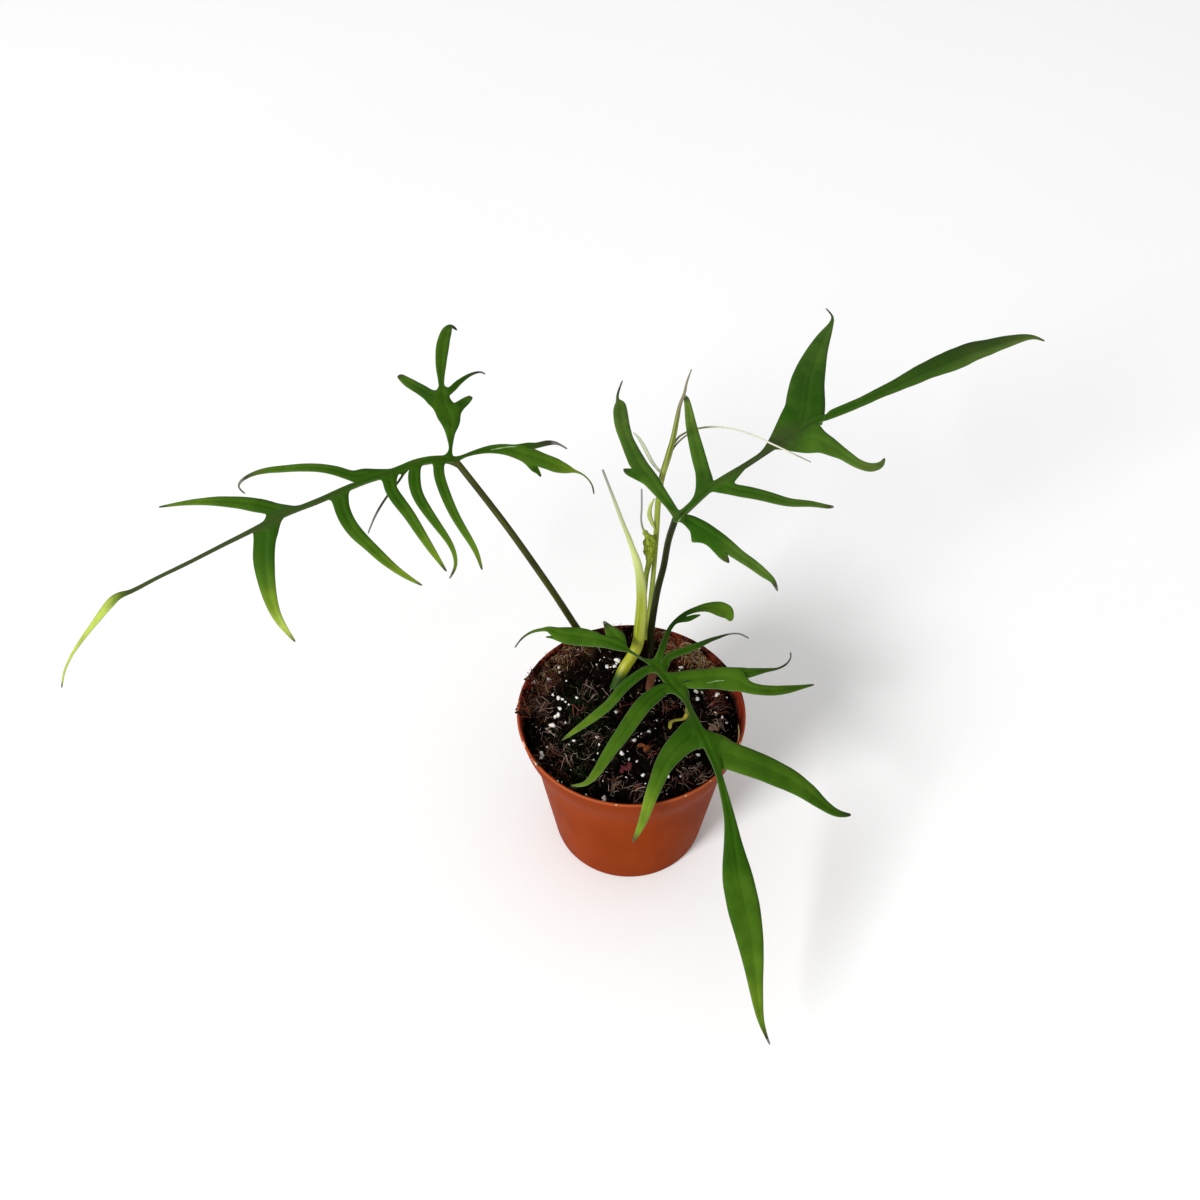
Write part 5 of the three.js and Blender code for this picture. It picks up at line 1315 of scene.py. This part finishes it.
def thread_material():
    """Dry threads: grey green near their root and whitish further out."""
    s = Shader("thread_skin", 0.6, 0.05)
    flow = s.vector("flow")
    along = s.axis(2, flow)
    grain = s.noise(700, 3, 0.6)
    colour = s.coats(rgb(92, 98, 58), [
        (along, 3, 12, rgb(128, 132, 84)), (along, 30, 52, rgb(200, 200, 182)),
        (along, 84, 96, rgb(138, 138, 112)), (grain, 0.45, 0.75, rgb(100, 100, 70), 0.3)])
    return s.finish(colour, grain, 0.3, 0.0002)


def old_sheath_piece(material):
    def section(turn, size, along):
        swell = max(0, min(1, (size - 2.4) / 3))
        pleat = 1 + 0.2 * swell * math.sin(6 * turn + 20 * along)
        pucker = 1 + 0.12 * swell * math.sin(62 * along + 3 * math.sin(turn))
        strand = 1.35 if 1.6 < size < 2.4 else 0.88 if size < 1.4 else 1
        radius = 0.5 * size * strand * pleat * pucker
        return around(radius, turn, 1 - 0.4 * swell)
    skin = tube(OLD_SHEATH, (0, -1, 0), 36, 12, section)
    return drawn("dried_sheath", skin, material, "old_sheath")


def old_sheath_material():
    s = Shader("dried_sheath_skin", 0.6, 0.06)
    flow = s.vector("flow")
    height = s.axis(2)
    turn = s.axis(0, flow)
    streak = s.noise(1.8, 4, 0.6, s.place((3, 3, 0.08), flow))
    fold = s.noise(1.2, 4, 0.6, s.place((1.5, 1.5, 1.1), flow))
    colour = s.coats(rgb(96, 114, 30), [
        (streak, 0.35, 0.65, rgb(152, 168, 56)), (fold, 0.48, 0.66, rgb(66, 76, 22), 0.8),
        (turn, 0.5, 0.85, rgb(50, 60, 20), 0.7), (height, 0.172, 0.182, rgb(138, 138, 132)),
        (height, 0.158, 0.148, rgb(84, 92, 34), 0.45), (height, 0.125, 0.1, rgb(58, 62, 26))])
    return s.finish(colour, fold, 0.6, 0.0005)


# Marks painted on the blades: the blade, 0 for a painted highlight (one of them a pale vein) or 1 for a
# slit painted dark as shade, and rows
LEAF_PAINTED_MARKS = [
    ("leaf_front", 1, [(25.8, 2.1, 120, 0.5), (28.4, 3.1, 120, 0.9), (31, 2.9, 120, 0.4)]),
    ("leaf_front", 0, [(38.7, 1, 120, 0.4), (43.1, 2.1, 120, 0.9), (47.4, 2.3, 120, 0.4)]),
    ("leaf_front", 0, [(48.8, 7.3, 120, 0.4), (51.8, 8.1, 120, 0.8), (54.3, 7.5, 120, 0.3)]),
    ("leaf_front", 0, [(0.4, 22, 120, 0.3), (4.6, 19.6, 119, 0.4), (8, 18.3, 117, 0.3)]),
    ("leaf_left", 0, [
        (-70.9, 75.3, 213, 0.4), (-66.5, 76.4, 213, 0.8), (-62, 77.5, 213, 0.8), (-58, 78, 213, 0.4)]),
    ("leaf_right", 0, [(20.4, 20.5, 217, 0.4), (21.4, 21.5, 217, 0.6), (21.9, 22.5, 217, 0.3)]),
]


def painted_marks_piece(materials):
    """Thin straps pressed onto the blades: painted highlights, a pale vein and a slit painted dark as
    shade.
    """
    bpy.context.view_layer.update()
    pile = Pile()
    for owner, kind, rows in LEAF_PAINTED_MARKS:
        blade = bpy.data.objects[owner]
        laid = []
        for x, y, z, size in rows:
            _, place, normal, _ = blade.closest_point_on_mesh(Vector((x, y, z)) * MM)
            laid.append((*(place / MM + normal * 0.04), size))
        pile.add(ribbon(laid, normal, 0.16), kind)
    return pile.make("leaf_painted_marks", materials, "leaf")


def film_material(name, thin, edge):
    """Dry translucent skin, darker along its left edge."""
    s = Shader(name, 0.6, 0.05)
    turn = s.axis(0, s.vector("flow"))
    grain = s.noise(500, 3, 0.6)
    colour = s.coats(thin, [
        (grain, 0.4, 0.7, tuple(0.7 * c for c in thin), 0.3), (turn, 0.5, 0.9, edge)])
    return s.finish(colour, grain, 0.2, 0.0002)


# Dry swollen side of the old sheath, standing out to its right
BULGE = [
    (10.6, 57.5, 196, 0.9), (8.8, 57, 190.2, 2), (8.7, 57, 184.6, 2.5), (10.1, 57, 179.6, 2),
    (11.7, 57.5, 174.8, 0.9),
]


# Stage

# Camera fitted to the pot's rim and base in the photograph, in metres
CAMERA_PLACE = (-0.0164, -0.4505, 0.681)
CAMERA_TILT = 42.2
CAMERA_LENS = 42
# Table, surroundings and the one lamp, in metres and watts
TABLE_HALF = 6
WORLD_LIGHT = 0.67
KEY_PLACE = (-3.9, -4.3, 3.9)
KEY_AIM = (0.02, 0.02, 0.08)
KEY_SIZE = 2.3
KEY_POWER = 440


def camera():
    data = bpy.data.cameras.new("camera")
    data.lens = CAMERA_LENS
    data.sensor_width = 36
    data.clip_start = 0.01
    eye = link("camera", data)
    eye.location = CAMERA_PLACE
    eye.rotation_euler = (math.radians(CAMERA_TILT), 0, 0)
    bpy.context.scene.camera = eye


def studio():
    """White table, even surroundings and a soft lamp from the front left."""
    s = Shader("studio_floor", 0.75, 0.1)
    tint = s.noise(1.4, 2)
    material = s.finish(s.mix(s.range(tint, 0.3, 0.7), (0.90, 0.90, 0.90), (0.915, 0.915, 0.915)))
    mesh = bpy.data.meshes.new("floor")
    corners = ((-1, -1), (1, -1), (1, 1), (-1, 1))
    mesh.from_pydata([(a * TABLE_HALF, b * TABLE_HALF, 0) for a, b in corners], [], [[0, 1, 2, 3]])
    mesh.materials.append(material)
    floor = link("floor", mesh)
    world = bpy.data.worlds.new("studio")
    world.use_nodes = True
    sky = world.node_tree.nodes["Background"].inputs
    sky[0].default_value = (1, 1, 1, 1)
    sky[1].default_value = WORLD_LIGHT
    bpy.context.scene.world = world
    data = bpy.data.lights.new("key", "AREA")
    data.shape = "DISK"
    data.size = KEY_SIZE
    data.energy = KEY_POWER
    lamp = link("key", data)
    lamp.location = KEY_PLACE
    aim = Vector(KEY_AIM) - Vector(KEY_PLACE)
    lamp.rotation_euler = aim.to_track_quat("-Z", "Y").to_euler()
    bpy.context.scene.view_settings.view_transform = "Standard"


camera()
studio()

leaf_green = leaf_material(
    "leaf_green", rgb(38, 72, 9), rgb(66, 98, 22), rgb(106, 131, 34), rgb(172, 190, 84))
leaf_deep = leaf_material(
    "leaf_deep", rgb(40, 78, 12), rgb(71, 102, 32), rgb(98, 121, 52), rgb(140, 160, 74))
stalk_dark = stalk_material(
    "stalk_dark", (rgb(48, 50, 12), rgb(66, 68, 20), rgb(30, 30, 10), rgb(96, 98, 46)), 0.45)
stalk_black = stalk_material(
    "stalk_black", (rgb(24, 28, 10), rgb(44, 50, 20), rgb(16, 17, 8), rgb(78, 84, 44)), 0.45)
stalk_brown = stalk_material(
    "stalk_brown", (rgb(122, 74, 50), rgb(146, 96, 70), rgb(86, 66, 34), rgb(172, 140, 104)), 0.6, 0.2)
shoot_skin = stalk_material(
    "shoot_skin", (rgb(132, 148, 50), rgb(150, 164, 72), rgb(106, 122, 36), rgb(170, 180, 100)), 0.45)

leaf("leaf_left", LEFT_LEAF, (-86.2, 64.5, 212.4), 3.3, 0.75, [leaf_green, stalk_dark], "blade_left")
leaf("leaf_right", RIGHT_LEAF, (19.5, 26.2, 212.3), 3.1, 0.75, [leaf_deep, stalk_black], "blade_right")
leaf("leaf_front", FRONT_LEAF, (12.4, 16.4, 114.2), 3.4, 0.1, [leaf_green, stalk_dark], "blade_front")

# Painted highlights, one pale vein and a slit painted dark as shade, lying on the blades
painted_marks_piece([
    scrap_material("painted_highlight_and_vein", rgb(132, 156, 108), rgb(96, 128, 66)),
    scrap_material("painted_slit_shade", rgb(18, 28, 12), rgb(30, 40, 18))])

stem_piece("stem_left", PETIOLE_LEFT, stalk_dark, "petiole_left")
stem_piece("stem_right", PETIOLE_RIGHT, stalk_black, "petiole_right")
stem_piece("stem_front", PETIOLE_FRONT, stalk_brown, "petiole_front")
stem_piece("shoot_stem", SHOOT, shoot_skin, "shoot")
sheath_piece(sheath_material())
young_leaf_piece([
    roll_material(), thread_material(), film_material("pale_film", rgb(176, 184, 156), rgb(120, 128, 96))])
old_sheath_piece(old_sheath_material())
dried_film = film_material("dried_film", rgb(172, 184, 104), rgb(74, 84, 40))
drawn("dried_bulge", ribbon(BULGE, (0, -1, 0.2), 0.3, 12), dried_film)

pot_piece(pot_material(), stained_material())
crumb = crumb_material()
hairs = fibre_material("fibres", rgb(56, 30, 26), rgb(132, 68, 50), rgb(170, 150, 132))
coir = fibre_material("coir", rgb(74, 34, 22), rgb(150, 70, 42), rgb(206, 180, 112))
soil_piece(peat_material())
crumbs_piece(crumb)
perlite_piece(perlite_material())
fibres_piece(hairs)
coir_piece(coir)
rim_litter_piece([crumb, hairs])
moss_piece(moss_material())
scraps_piece()
